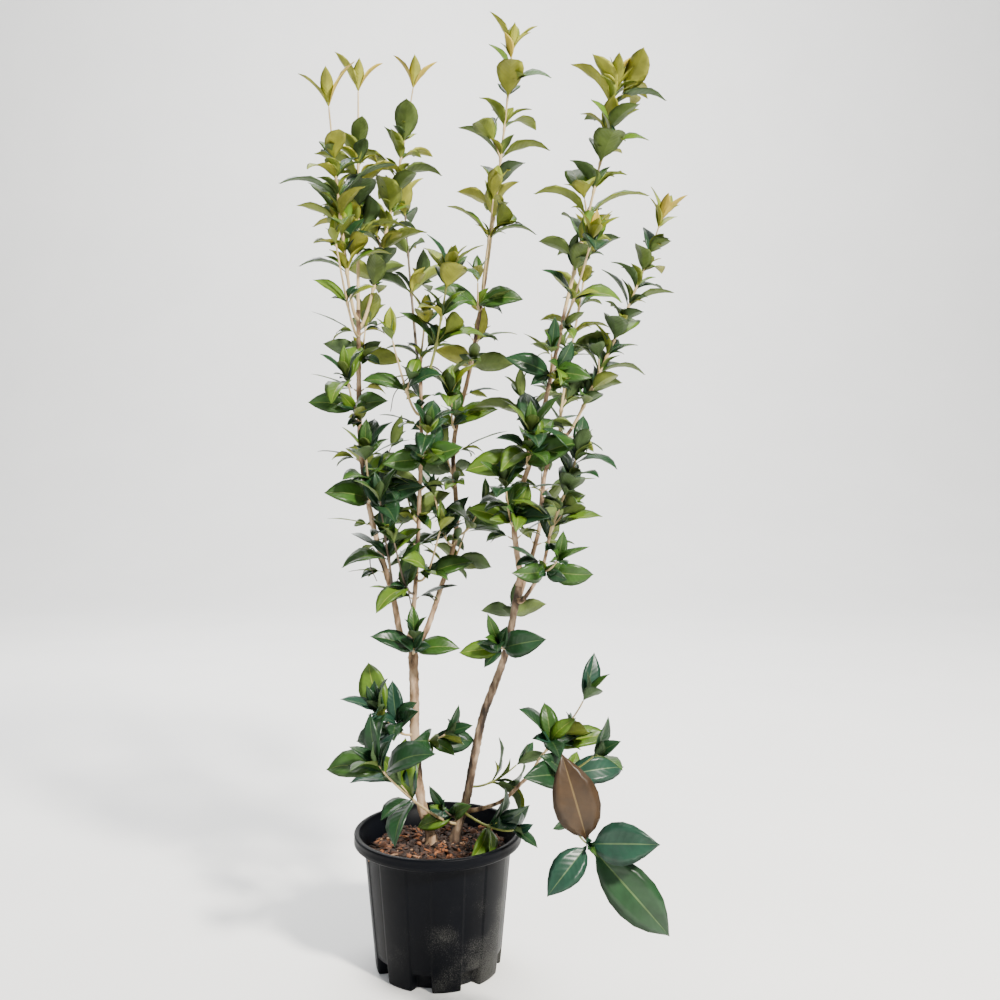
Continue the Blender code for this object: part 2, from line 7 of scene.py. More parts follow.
import bpy
import numpy as np
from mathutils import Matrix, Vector


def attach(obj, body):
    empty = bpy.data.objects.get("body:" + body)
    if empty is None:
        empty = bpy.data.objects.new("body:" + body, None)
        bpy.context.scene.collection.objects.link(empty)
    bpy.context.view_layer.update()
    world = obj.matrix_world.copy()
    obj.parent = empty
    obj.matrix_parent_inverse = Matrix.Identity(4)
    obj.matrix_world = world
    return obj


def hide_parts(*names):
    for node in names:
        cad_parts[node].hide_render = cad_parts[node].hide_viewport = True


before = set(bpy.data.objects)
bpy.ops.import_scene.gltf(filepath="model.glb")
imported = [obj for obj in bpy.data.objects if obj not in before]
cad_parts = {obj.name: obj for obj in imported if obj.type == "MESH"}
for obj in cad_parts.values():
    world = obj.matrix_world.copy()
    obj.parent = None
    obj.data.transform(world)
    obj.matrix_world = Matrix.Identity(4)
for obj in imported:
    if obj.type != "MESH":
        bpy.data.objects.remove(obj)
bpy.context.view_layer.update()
print("frame loaded:", len(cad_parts), "nodes")

up = np.array((0.0, 0.0, 1.0))
right = np.array((1.0, 0.0, 0.0))
soilLevel = 0.175

# trunks: node, foot on the mix, turning points, foot and tip radius
trunkTable = (
    ("trunk_left", (-0.01, 0.008),
     ((-0.024, 0.009, 0.235), (-0.035, 0.012, 0.33), (-0.036, 0.015, 0.41), (-0.039, 0.02, 0.5)),
     0.0075, 0.0072),
    ("trunk_right", (0.025, 0.02),
     ((0.041, 0.021, 0.24), (0.067, 0.015, 0.37), (0.1, 0.008, 0.465), (0.122, 0.0, 0.575)),
     0.007, 0.0052),
)

# boughs: node, carrier, share of its length, turning points, foot and tip radius
boughTable = (
    ("bough_left", "trunk_left", 0.965,
     ((-0.068, 0.018, 0.555), (-0.093, 0.008, 0.65), (-0.111, 0.0, 0.76), (-0.112, -0.02, 0.975)),
     0.0048, 0.0032),
    ("bough_middle", "trunk_left", 1.0,
     ((-0.032, 0.008, 0.585), (-0.025, -0.02, 0.69), (-0.02, -0.04, 0.79), (-0.019, -0.06, 0.89)),
     0.0036, 0.0026),
    ("bough_right", "trunk_left", 0.965,
     ((0.002, 0.035, 0.56), (0.026, 0.05, 0.65), (0.022, 0.06, 0.78), (0.048, 0.06, 0.9),
      (0.072, 0.05, 1.04)),
     0.0042, 0.0028),
    ("bough_front", "trunk_right", 1.0,
     ((0.114, -0.018, 0.675), (0.141, -0.035, 0.77), (0.163, -0.045, 0.865), (0.186, -0.05, 0.975)),
     0.0044, 0.0028),
    ("bough_rear", "trunk_right", 0.955,
     ((0.152, 0.045, 0.65), (0.167, 0.08, 0.75), (0.204, 0.09, 0.805)),
     0.0036, 0.0028),
    ("bough_side", "trunk_right", 0.94, ((0.153, -0.03, 0.598), (0.164, -0.052, 0.65)), 0.003, 0.0024),
    ("bough_low", "trunk_right", 0.14,
     ((0.095, -0.015, 0.252), (0.13, -0.05, 0.296), (0.152, -0.078, 0.318)),
     0.0032, 0.0024),
)

# masses: node, carrier, share, stem's tip, bare foot, bare stretch below the tip, leafy nodes,
# twigs in the leaf axils, leaf length and the first pair's turn in degrees
massTable = (
    ("leader_outer", "bough_left", 0.975, (-0.138, -0.11, 1.235), 0.07, 0.07, 4, 2, 0.07, 10),
    ("leader_left", "bough_left", 1.0, (-0.114, 0.01, 1.295), 0.105, 0.09, 4, 2, 0.064, 15),
    ("leader_inner", "bough_left", 0.95, (-0.04, 0.085, 1.325), 0.07, 0.09, 5, 2, 0.064, 80),
    ("shoot_outer", "bough_left", 0.925, (-0.128, -0.12, 1.05), 0.065, 0.02, 1, 0, 0.042, 0),
    ("spray_left_1", "bough_left", 0.18, (-0.076, -0.07, 0.7), 0.06, 0.015, 2, 1, 0.06, 30),
    ("spray_left_2", "bough_left", 0.44, (-0.098, -0.055, 0.765), 0.012, 0.01, 2, 1, 0.07, 5),
    ("spray_left_3", "bough_left", 0.5, (-0.074, 0.055, 0.775), 0.018, 0.01, 1, 1, 0.062, 0),
    ("spray_left_4", "bough_left", 0.71, (-0.124, -0.055, 0.875), 0.01, 0.012, 2, 0, 0.062, 0),
    ("spray_left_5", "bough_left", 0.86, (-0.108, 0.04, 0.965), 0.012, 0.012, 2, 0, 0.058, 20),
    ("top_middle", "bough_middle", 1.0, (-0.012, -0.072, 0.955), 0.01, 0.012, 2, 1, 0.052, 0),
    ("leader_front", "bough_middle", 0.955, (0.024, -0.125, 1.01), 0.06, 0.022, 2, 1, 0.062, 0),
    ("leader_back", "bough_middle", 0.93, (-0.056, 0.105, 1.16), 0.17, 0.03, 2, 1, 0.062, 0),
    ("spray_middle_1", "bough_middle", 0.15, (-0.058, -0.055, 0.64), 0.022, 0.01, 1, 0, 0.055, 60),
    ("spray_middle_2", "bough_middle", 0.2, (0.006, -0.03, 0.655), 0.022, 0.01, 1, 0, 0.055, 30),
    ("spray_middle_3", "bough_middle", 0.42, (-0.05, 0.035, 0.715), 0.012, 0.01, 1, 0, 0.058, 0),
    ("spray_middle_4", "bough_middle", 0.66, (-0.008, -0.085, 0.8), 0.012, 0.01, 2, 1, 0.055, 0),
    ("spray_middle_5", "bough_middle", 0.83, (-0.052, -0.125, 0.92), 0.05, 0.01, 1, 1, 0.05, 0),
    ("leader_right", "bough_right", 1.0, (0.111, 0.045, 1.365), 0.08, 0.068, 3, 3, 0.068, 85),
    ("shoot_right", "bough_right", 0.95, (0.083, -0.01, 1.135), 0.085, 0.01, 1, 1, 0.062, 0),
    ("spray_right_1", "bough_right", 0.22, (0.04, 0.075, 0.65), 0.012, 0.01, 1, 0, 0.048, 0),
    ("spray_right_2", "bough_right", 0.3, (0.066, 0.03, 0.69), 0.02, 0.01, 1, 0, 0.055, 20),
    ("spray_right_3", "bough_right", 0.27, (-0.004, 0.0, 0.705), 0.02, 0.01, 1, 1, 0.055, 45),
    ("spray_right_4", "bough_right", 0.46, (0.008, 0.1, 0.775), 0.012, 0.01, 1, 0, 0.055, 0),
    ("spray_right_5", "bough_right", 0.58, (0.02, 0.02, 0.855), 0.012, 0.012, 2, 2, 0.062, 0),
    ("spray_right_6", "bough_right", 0.75, (0.058, 0.1, 0.94), 0.012, 0.01, 1, 0, 0.058, 0),
    ("spray_right_7", "bough_right", 0.9, (0.06, 0.02, 1.02), 0.012, 0.01, 1, 0, 0.055, 0),
    ("leader_front_right", "bough_front", 1.0, (0.252, -0.06, 1.27), 0.05, 0.02, 4, 4, 0.072, 85),
    ("shoot_front_right", "bough_front", 0.94, (0.216, -0.12, 1.055), 0.045, 0.012, 2, 0, 0.058, 0),
    ("spray_front_1", "bough_front", 0.22, (0.1, -0.08, 0.725), 0.018, 0.01, 2, 1, 0.062, 0),
    ("spray_front_2", "bough_front", 0.44, (0.135, -0.085, 0.795), 0.012, 0.01, 2, 1, 0.074, 10),
    ("spray_front_3", "bough_front", 0.55, (0.126, -0.015, 0.845), 0.03, 0.01, 1, 0, 0.062, 0),
    ("spray_front_4", "bough_front", 0.76, (0.164, -0.1, 0.905), 0.012, 0.01, 1, 1, 0.056, 0),
    ("leader_rear", "bough_rear", 0.93, (0.234, 0.14, 1.1), 0.045, 0.025, 4, 2, 0.06, 40),
    ("leader_far_right", "bough_rear", 1.0, (0.336, 0.06, 1.118), 0.04, 0.08, 5, 2, 0.062, 70),
    ("spray_rear", "bough_rear", 0.45, (0.16, 0.135, 0.735), 0.018, 0.01, 1, 1, 0.06, 0),
    ("leader_side", "bough_side", 1.0, (0.2, -0.085, 0.765), 0.012, 0.012, 3, 1, 0.064, 0),
    ("spray_side", "bough_side", 0.6, (0.172, -0.105, 0.62), 0.016, 0.01, 1, 0, 0.052, 0),
    ("spray_low_left", "trunk_right", 0.075, (-0.074, -0.115, 0.335), 0.11, 0.018, 2, 1, 0.09, 80),
    ("spray_trunk_left_1", "trunk_left", 0.53, (-0.08, -0.035, 0.39), 0.02, 0.012, 2, 1, 0.08, 0),
    ("spray_trunk_left_2", "trunk_left", 0.5, (0.012, -0.025, 0.355), 0.016, 0.012, 1, 1, 0.074, 10),
    ("spray_fork", "trunk_left", 0.9, (-0.034, -0.012, 0.492), 0.012, 0.006, 1, 0, 0.07, 0),
    ("spray_foot", "trunk_right", 0.105, (0.012, -0.022, 0.24), 0.014, 0.01, 1, 0, 0.056, 20),
    ("spray_rim", "trunk_right", 0.125, (0.112, -0.085, 0.234), 0.06, 0.012, 1, 1, 0.068, 30),
    ("spray_foot_right", "trunk_right", 0.22, (0.118, 0.045, 0.288), 0.03, 0.012, 1, 1, 0.068, 20),
    ("spray_trunk_right_1", "trunk_right", 0.76, (0.092, -0.03, 0.49), 0.014, 0.008, 1, 0, 0.066, 10),
    ("spray_trunk_right_2", "trunk_right", 0.86, (0.114, 0.034, 0.53), 0.014, 0.008, 1, 0, 0.052, 0),
    ("shoot_low_right", "bough_low", 0.88, (0.208, -0.11, 0.425), 0.045, 0.016, 1, 2, 0.082, 0),
    ("shoot_low_front", "bough_low", 1.0, (0.2, -0.3, 0.296), 0.13, 0.016, 1, 0, 0.115, 20),
    ("shoot_low_outer", "bough_low", 0.97, (0.218, -0.16, 0.362), 0.045, 0.012, 1, 0, 0.086, 10),
)


# small helpers for arrays

def mix(a, b, part):
    return a + (b - a) * part


def unit(v):
    return v / np.maximum(np.linalg.norm(v, axis=-1, keepdims=True), 1e-12)


def smoothStep(low, high, x):
    t = np.clip((x - low) / (high - low), 0, 1)
    return t * t * (3 - 2 * t)


def ripple(points, scale, seed):
    # a soft bumpy value, mostly from -1 to 1: six sine waves in seeded directions, added
    chance = np.random.default_rng(seed)
    total = 0
    for i in range(6):
        direction = unit(chance.normal(size=3)) * scale * (0.7 + 0.35 * i)
        total = total + np.sin(points @ direction + chance.uniform(0, 6.28))
    return total / 3.2


# surfaces: every piece is a stack of closed rings with a point at each end

def ringSurface(rings, startPoints, endPoints, slots=None, rolled=None):
    # rings is (copies, rows, around, 3), counter-clockwise seen from the end point; each copy has
    # around quads between two rows and a fan of triangles at each end; a rolled quad starts at its
    # second corner, so the under side of a blade is split along the same diagonals as its top
    copies, rows, around = rings.shape[:3]
    verts = np.concatenate([rings.reshape(copies, -1, 3), startPoints[:, None], endPoints[:, None]], axis=1)
    j = np.arange(around)
    k = np.roll(j, -1)
    base = (np.arange(rows - 1) * around)[:, None]
    quads = np.stack([base + j, base + k, base + around + k, base + around + j], axis=-1)
    if rolled is not None:
        quads[:, rolled] = np.roll(quads[:, rolled], -1, axis=-1)
    quads = quads.reshape(-1, 4)
    last = (rows - 1) * around
    startFan = np.stack([k, j, np.full(around, rows * around)], axis=-1)
    endFan = np.stack([last + j, last + k, np.full(around, rows * around + 1)], axis=-1)
    tris = np.concatenate([startFan, endFan])
    step = (np.arange(copies) * verts.shape[1])[:, None, None]
    if slots is None:
        slots = np.zeros(around, int)
    quadSlots = np.tile(np.tile(slots, rows - 1), copies)
    triSlots = np.tile(np.tile(slots, 2), copies)
    return (verts.reshape(-1, 3), (quads + step).reshape(-1, 4), (tris + step).reshape(-1, 3),
            quadSlots, triSlots)


def makePiece(name, surfaces, materials, replaced=(), values=None):
    # joins the surfaces into one mesh; values is an optional vector for each vertex, named "place"
    verts, quads, tris, quadSlots, triSlots = [], [], [], [], []
    count = 0
    for v, q, t, qs, ts in surfaces:
        verts.append(v)
        quads.append(q + count)
        tris.append(t + count)
        quadSlots.append(qs)
        triSlots.append(ts)
        count += len(v)
    verts, quads, tris = map(np.concatenate, (verts, quads, tris))
    mesh = bpy.data.meshes.new(name)
    mesh.vertices.add(len(verts))
    mesh.vertices.foreach_set("co", verts.astype(np.float32).ravel())
    mesh.loops.add(quads.size + tris.size)
    mesh.loops.foreach_set("vertex_index", np.concatenate([quads.ravel(), tris.ravel()]).astype(np.int32))
    mesh.polygons.add(len(quads) + len(tris))
    starts = np.concatenate([np.arange(len(quads)) * 4, quads.size + np.arange(len(tris)) * 3])
    mesh.polygons.foreach_set("loop_start", starts.astype(np.int32))
    mesh.polygons.foreach_set("material_index",
                              np.concatenate([*quadSlots, *triSlots]).astype(np.int32))
    mesh.update(calc_edges=True)
    mesh.polygons.foreach_set("use_smooth", np.ones(len(mesh.polygons), bool))
    if values is not None:
        mesh.attributes.new("place", "FLOAT_VECTOR", "POINT").data.foreach_set(
            "vector", values.astype(np.float32).ravel())
    for material in materials:
        mesh.materials.append(material)
    mesh.validate()
    piece = bpy.data.objects.new(name, mesh)
    bpy.context.scene.collection.objects.link(piece)
    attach(piece, "root")
    if replaced:
        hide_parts(*replaced)
    print(name, len(quads) * 2 + len(tris), "triangles")
    return piece


# materials: a principled shader with a colour and a bump, from nodes on Object coordinates

def newMaterial(name, roughness, **inputs):
    material = bpy.data.materials.new(name)
    material.use_nodes = True
    nodes, links = material.node_tree.nodes, material.node_tree.links
    shader = nodes["Principled BSDF"]
    shader.inputs["Roughness"].default_value = roughness
    for key, value in inputs.items():
        shader.inputs[key.replace("_", " ")].default_value = value
    coordinates = nodes.new("ShaderNodeTexCoord")
    return material, nodes, links, shader, coordinates.outputs["Object"]


def noiseOf(nodes, links, source, scale, detail=4.0, stretch=(1, 1, 1)):
    mapping = nodes.new("ShaderNodeMapping")
    mapping.inputs["Scale"].default_value = stretch
    noise = nodes.new("ShaderNodeTexNoise")
    noise.inputs["Scale"].default_value = scale
    noise.inputs["Detail"].default_value = detail
    links.new(source, mapping.inputs["Vector"])
    links.new(mapping.outputs["Vector"], noise.inputs["Vector"])
    return noise.outputs["Fac"]


def rampOf(nodes, links, fac, stops):
    ramp = nodes.new("ShaderNodeValToRGB")
    while len(ramp.color_ramp.elements) < len(stops):
        ramp.color_ramp.elements.new(0.5)
    for element, (place, colour) in zip(ramp.color_ramp.elements, stops):
        element.position = place
        element.color = (*colour, 1.0)
    links.new(fac, ramp.inputs["Fac"])
    return ramp.outputs["Color"]


def mathOf(nodes, links, operation, *values):
    # one sum, whose values are numbers or other nodes' outputs
    node = nodes.new("ShaderNodeMath")
    node.operation = operation
    for entry, value in zip(node.inputs, values):
        if isinstance(value, (int, float)):
            entry.default_value = value
        else:
            links.new(value, entry)
    return node.outputs[0]


def splitOf(nodes, links, vector):
    node = nodes.new("ShaderNodeSeparateXYZ")
    links.new(vector, node.inputs["Vector"])
    return node.outputs["X"], node.outputs["Y"], node.outputs["Z"]


def bumpOf(nodes, links, height, strength, distance, shader):
    bump = nodes.new("ShaderNodeBump")
    bump.inputs["Strength"].default_value = strength
    bump.inputs["Distance"].default_value = distance
    links.new(height, bump.inputs["Height"])
    links.new(bump.outputs["Normal"], shader.inputs["Normal"])


def mottled(name, colour, spread, scale, roughness, bump, distance, stretch=(1, 1, 1), **inputs):
    # the colour wanders between darker and lighter by spread, with a noise that also gives the bump
    material, nodes, links, shader, source = newMaterial(name, roughness, **inputs)
    noise = noiseOf(nodes, links, source, scale, 5.0, stretch)
    dark = tuple(c * (1 - spread) for c in colour)
    light = tuple(min(c * (1 + spread), 1) for c in colour)
    links.new(rampOf(nodes, links, noise, ((0.3, dark), (0.5, colour), (0.7, light))),
              shader.inputs["Base Color"])
    bumpOf(nodes, links, noise, bump, distance, shader)
    return material


# limbs: paths, places on them and tubes

limbRule = dict(flareReach=0.014, tangentReach=0.012, cap=0.4)
sweep = dict(rise=0.35, footHandle=0.3, longestFootHandle=0.022, tipHandle=0.35)


def smoothPath(points, pieces=12):
    # a centripetal Catmull-Rom curve: knots are spaced by the root of each chord, and each span
    # blends three straight runs, then two, then one
    ends = np.vstack([2 * points[0] - points[1], points, 2 * points[-1] - points[-2]])
    path = [points[:1]]
    for i in range(len(points) - 1):
        four = ends[i:i + 4]
        knots = np.concatenate([[0], np.cumsum(np.sqrt(np.linalg.norm(np.diff(four, axis=0), axis=1)))])
        t = (knots[1] + (knots[2] - knots[1]) * np.arange(1, pieces + 1) / pieces)[:, None]
        first = [mix(four[j], four[j + 1], (t - knots[j]) / (knots[j + 1] - knots[j])) for j in range(3)]
        second = [mix(first[j], first[j + 1], (t - knots[j]) / (knots[j + 2] - knots[j])) for j in (0, 1)]
        path.append(mix(*second, (t - knots[1]) / (knots[2] - knots[1])))
    return np.vstack(path)


def sweptPath(start, outward, tip, pieces=24):
    # a Bezier curve that leaves its carrier outwards and sweeps up to its tip
    chord = tip - start
    length = np.linalg.norm(chord)
    rise = unit(unit(chord) + sweep["rise"] * up)
    footHandle = min(sweep["footHandle"] * length, sweep["longestFootHandle"])
    handles = (start, start + footHandle * outward, tip - sweep["tipHandle"] * length * rise, tip)
    t = np.linspace(0, 1, pieces + 1)[:, None]
    weights = ((1 - t)**3, 3 * t * (1 - t)**2, 3 * t**2 * (1 - t), t**3)
    return sum(w * h for w, h in zip(weights, handles))


def makeLimb(path, foot, tip, flare=0.0):
    runs = np.concatenate([[0], np.cumsum(np.linalg.norm(np.diff(path, axis=0), axis=1))])
    return dict(path=path, runs=runs, length=runs[-1], foot=foot, tip=tip, flare=flare)


def placeAt(limb, run):
    return np.stack([np.interp(run, limb["runs"], limb["path"][:, i]) for i in range(3)], axis=-1)


def radiusOf(limb, share, run):
    # the radius runs evenly from foot to tip, with a flare that fades out from the foot
    return mix(limb["foot"], limb["tip"], share) * (1 + limb["flare"] * np.exp(-run / limbRule["flareReach"]))


def limbAt(limb, share):
    # place, direction and radius at a share of the limb's length
    run = np.clip(share, 0, 1) * limb["length"]
    reach = limbRule["tangentReach"]
    ahead = placeAt(limb, np.minimum(run + reach / 2, limb["length"]))
    behind = placeAt(limb, max(run - reach, 0))
    return placeAt(limb, run), unit(ahead - behind), radiusOf(limb, share, run)


def leave(limb, share, goal):
    # where a branch starts on its carrier's skin, and which way it leaves: square to it, or on
    # from its end
    place, along, radius = limbAt(limb, share)
    if share >= 1:
        return place, along
    outward = unit((goal - place) - np.dot(goal - place, along) * along)
    return place + radius * outward, outward


def squareTo(along):
    first = unit(right - (along @ right)[..., None] * along)
    return first, np.cross(along, first)


def around(along, turn):
    first, second = squareTo(along)
    return math.cos(turn) * first + math.sin(turn) * second


def tubeSurface(limb, sides, step, swell, sink=0.0, slot=0):
    # circles square to the limb's path at even runs; swell gives each point's share of the
    # radius from its run, turn and place, and the tube starts a little inside its carrier
    count = max(3, int(limb["length"] / step))
    run = np.linspace(0, limb["length"], count)
    centre = placeAt(limb, run)
    along = unit(np.gradient(centre, axis=0))
    if sink:
        centre = np.vstack([centre[0] - sink * along[0], centre])
        along = np.vstack([along[0], along])
        run = np.concatenate([[0], run])
    first, second = squareTo(along)
    turn = np.arange(sides) * 2 * np.pi / sides
    radius = radiusOf(limb, run / limb["length"], run)
    out = np.cos(turn)[None, :, None] * first[:, None] + np.sin(turn)[None, :, None] * second[:, None]
    flat = centre[:, None] + radius[:, None, None] * out
    rings = centre[:, None] + (radius[:, None] * swell(run[:, None], turn[None], flat))[..., None] * out
    end = centre[-1:] + limbRule["cap"] * radius[-1] * along[-1:]
    return ringSurface(rings[None], centre[:1], end, np.full(sides, slot))


# bark

bark = dict(colour=(0.27, 0.175, 0.105), shade=(0.050, 0.032, 0.021), pale=(0.46, 0.33, 0.22), relief=0.16,
            step=0.003, sink=0.004, scarGap=0.034, scarLength=0.0022, scarHeight=0.10,
            trunkSides=20, trunkFlare=0.5, boughSides=16, boughFlare=0.35)
darkBark = dict(colour=(0.125, 0.085, 0.058), shade=(0.026, 0.019, 0.015), pale=(0.36, 0.26, 0.175))


def barkMaterial(name, tones):
    # dark streaks along the stem through tan to pale, and a fine grain in the bump
    material, nodes, links, shader, source = newMaterial(name, 0.85, Specular_IOR_Level=0.2)
    streaks = noiseOf(nodes, links, source, 75, 8.0, (1, 1, 0.35))
    stops = ((0.38, tones["shade"]), (0.50, tones["colour"]), (0.64, tones["pale"]))
    links.new(rampOf(nodes, links, streaks, stops), shader.inputs["Base Color"])
    grain = noiseOf(nodes, links, source, 420, 4.0, (1, 1, 1.6))
    bumpOf(nodes, links, grain, 0.7, 0.0009, shader)
    return material


def barkSwell(seed):
    # the radius wavers by a coarse and a fine ripple, with a ring of scars every few centimetres
    def swell(run, turn, flat):
        fromScar = (run + 0.007 * seed) % bark["scarGap"] - bark["scarGap"] / 2
        scar = bark["scarHeight"] * np.exp(-(fromScar / bark["scarLength"])**2)
        waver = 0.5 * ripple(flat, 260, seed) + 0.35 * ripple(flat, 900, seed + 50)
        return 1 + bark["relief"] * waver + scar * (0.6 + 0.4 * np.cos(2 * turn + seed))
    return swell


barkSkin = barkMaterial("pale bark", bark)
barkSkins = {"trunk_right": barkMaterial("dark bark", darkBark)}
limbs = {}


def makeBark(name, path, foot, tip, flare, sides, seed):
    limbs[name] = makeLimb(path, foot, tip, flare)
    surface = tubeSurface(limbs[name], sides, bark["step"], barkSwell(seed), bark["sink"])
    makePiece("bark_" + name, [surface], [barkSkins.get(name, barkSkin)], [name])


for seed, (name, (x, y), turns, foot, tip) in enumerate(trunkTable):
    start = np.array((x, y, soilLevel))
    path = smoothPath(np.vstack([start, start + 0.012 * up, turns]))
    makeBark(name, path, foot, tip, bark["trunkFlare"], bark["trunkSides"], seed)
for seed, (name, carrier, share, turns, foot, tip) in enumerate(boughTable, 7):
    start, outward = leave(limbs[carrier], share, np.array(turns[0]))
    path = smoothPath(np.vstack([start, start + 1.5 * foot * outward, turns]))
    makeBark(name, path, foot, tip, bark["boughFlare"], bark["boughSides"], seed)


# cream, green and dark shoots, one tube for each mass; the dark skin is painted shade for shoots behind or low
# in the crown

shoots = dict(tip=0.0011, foot=0.0026, slenderFoot=0.0016, footPerLength=0.004, step=0.004, sides=8,
              sink=0.003, nodeSwell=0.55, nodeReach=0.0035, waver=0.06, twigSides=6, twigStep=0.006)
alongStem = (1, 1, 0.4)
stemSkins = [mottled(name, colour, spread, 90, roughness, 0.3, 0.0003, alongStem)
             for name, colour, spread, roughness in (
                 ("cream shoot", (0.46, 0.34, 0.17), 0.25, 0.6),
                 ("green shoot", (0.24, 0.26, 0.06), 0.25, 0.6),
                 ("shaded shoot", (0.10, 0.075, 0.05), 0.3, 0.75))]
# these shoots take the dark skin as painted shade
shadedShoots = ("leader_back", "spray_left_1", "spray_middle_1", "spray_left_3", "spray_rear", "spray_foot")
greenShoots = ("shoot_low_front", "shoot_low_outer", "spray_rim", "spray_foot_right", "leader_front")


def shootSwell(nodeRuns):
    # plain tube with a soft swelling under each pair of leaves
    def swell(run, turn, flat):
        gap = np.abs(run[..., None] - np.array(nodeRuns)).min(axis=-1)
        node = shoots["nodeSwell"] * np.exp(-(gap / shoots["nodeReach"])**2)
        return 1 + node + shoots["waver"] * ripple(flat, 600, 3)
    return swell


# leaves: the growth rule gives a list of leaves, and each colour of leaf is one piece

leaf = dict(larger=1.16, largerFrom=0.40, largerTo=0.60,
            width=0.43, widthRange=(0.9, 1.12), fold=0.42, thick=0.010, twist=0.25, sink=0.2,
            spread=math.radians(46), bend=math.radians(52), bendRange=(0.6, 1.35), arch=1.2, archPower=1.25,
            rootAngle=0.15, edge=0.07, edgeWaves=13, tuftBend=0.5, tuftWidth=0.8,
            rows=(0.03, 0.10, 0.17, 0.28, 0.41, 0.55, 0.69, 0.82, 0.92, 0.975))

# a short shoot in an axil: how many leaves, and the ranges of their turn, spread and length
smallLeaf = dict(counts=(1, 2, 2, 3), turn=0.95, spread=(0.25, 0.85), length=(0.42, 0.8), rise=0.002)
pairRule = dict(turn=0.25, spread=(0.8, 1.2), length=(0.88, 1.08), evenSwell=0.85, middleSwell=0.3)
twigRule = dict(rise=0.004, turn=0.5, spread=0.6, length=(0.22, 0.32), pairLength=(0.7, 0.9), pairSpread=0.8,
                smallTurn=0.3, smallSpread=0.45, smallLength=(0.45, 0.7))
betweenRule = dict(spread=(0.7, 1.1), length=(0.85, 1.1), clear=0.008)
# the tuft at a tip: spread and share of the length for each pair, and what a fuller tuft adds
tuftRule = dict(pairs=((0.72, 0.8), (0.36, 0.62)), turn=0.2, length=(0.85, 1.1), pairSpread=0.75,
                fullTurn=2.4, fullDrop=0.012, fullSpread=(0.30, 0.75))

# masses with more pairs of leaves, between the nodes of the rule: how many, counted from the foot
denseMasses = {"leader_front_right": 4, "leader_far_right": 5, "leader_rear": 3, "leader_side": 2,
               "leader_right": 2, "leader_outer": 3, "leader_left": 3, "leader_inner": 4, "leader_back": 1,
               "leader_front": 2, "spray_front_1": 1, "spray_front_2": 1, "spray_left_1": 1, "spray_left_2": 1}
# tips with more leaves in the tuft: how many, and their share of the mass's leaf length
fullTufts = {"leader_far_right": (7, 0.72), "leader_right": (4, 0.62), "leader_front_right": (4, 0.9),
             "leader_front": (4, 0.8), "shoot_right": (3, 0.8), "leader_rear": (4, 0.8),
             "shoot_front_right": (3, 0.8)}

# top colour, rib, underside, roughness of the top
leafColours = {
    "deep": ((0.010, 0.036, 0.012), (0.050, 0.090, 0.028), (0.050, 0.085, 0.026), 0.34),
    # this dark bluish green is painted shade for low leaves under the crown
    "blue": ((0.011, 0.041, 0.024), (0.060, 0.105, 0.045), (0.055, 0.095, 0.038), 0.34),
    "mid": ((0.024, 0.066, 0.008), (0.085, 0.130, 0.026), (0.080, 0.118, 0.022), 0.38),
    "bright": ((0.062, 0.122, 0.008), (0.170, 0.215, 0.030), (0.150, 0.185, 0.022), 0.42),
    "young": ((0.150, 0.190, 0.010), (0.290, 0.300, 0.038), (0.235, 0.240, 0.026), 0.46),
    "golden": ((0.330, 0.230, 0.014), (0.420, 0.320, 0.045), (0.360, 0.270, 0.030), 0.48),
    "copper": ((0.040, 0.022, 0.009), (0.110, 0.072, 0.028), (0.070, 0.045, 0.020), 0.42),
}
# heights where colours change, and how many leaves in a hundred take them
colourRule = dict(tuftAbove=1.05, golden=0.3, youngFrom=0.75, youngTo=1.35, young=0.42,
                  bright=0.16, brightMore=0.62, lowBelow=0.47, blue=0.42, notCopper=0.975,
                  mid=0.55, midMore=0.45)
leafList = []
shootSurfaces = []


def colourFor(height, tipTuft, chance):
    # leaves get yellower with height, and the tufts at the tips are the youngest; low leaves may take a dark
    # bluish green, painted shade under the crown
    draw = chance.random()
    if tipTuft and height > colourRule["tuftAbove"]:
        return "golden" if draw < colourRule["golden"] else "young"
    young = float(smoothStep(colourRule["youngFrom"], colourRule["youngTo"], height))
    if draw < colourRule["young"] * young:
        return "young"
    if draw < colourRule["bright"] + colourRule["brightMore"] * young:
        return "bright"
    if height < colourRule["lowBelow"] and draw < colourRule["blue"]:
        return "blue"
    if height < colourRule["lowBelow"] and draw > colourRule["notCopper"]:
        return "copper"
    return "mid" if draw < colourRule["mid"] + colourRule["midMore"] * young else "deep"


def largerAt(height):
    return mix(1.0, leaf["larger"], float(smoothStep(leaf["largerFrom"], leaf["largerTo"], height)))


def addLeaf(root, along, outward, spread, length, radius, height, chance, tipTuft=False):
    # a leaf leaves its stem at the spread angle, with its top face towards the stem's tip
    direction = math.cos(spread) * along + math.sin(spread) * outward
    face = math.cos(spread) * -outward + math.sin(spread) * along
    tuftBend, tuftWidth = (leaf["tuftBend"], leaf["tuftWidth"]) if tipTuft else (1, 1)
    leafList.append(dict(root=root - leaf["sink"] * radius * direction, along=direction, face=face,
                         length=length, bend=leaf["bend"] * chance.uniform(*leaf["bendRange"]) * tuftBend,
                         wave=chance.uniform(0, 6.28), own=chance.random(),
                         twist=chance.uniform(-leaf["twist"], leaf["twist"]),
                         width=leaf["width"] * chance.uniform(*leaf["widthRange"]) * tuftWidth,
                         colour=colourFor(height, tipTuft, chance)))


def addSmallLeaves(place, along, turn, size, radius, chance):
    # the leaves of the short shoot in an axil, smaller and steeper than the pair's own
    for i in range(chance.choice(smallLeaf["counts"])):
        beside = around(along, turn + chance.uniform(-smallLeaf["turn"], smallLeaf["turn"]))
        addLeaf(place + smallLeaf["rise"] * along, along, beside, chance.uniform(*smallLeaf["spread"]),
                size * chance.uniform(*smallLeaf["length"]), radius, place[2], chance)


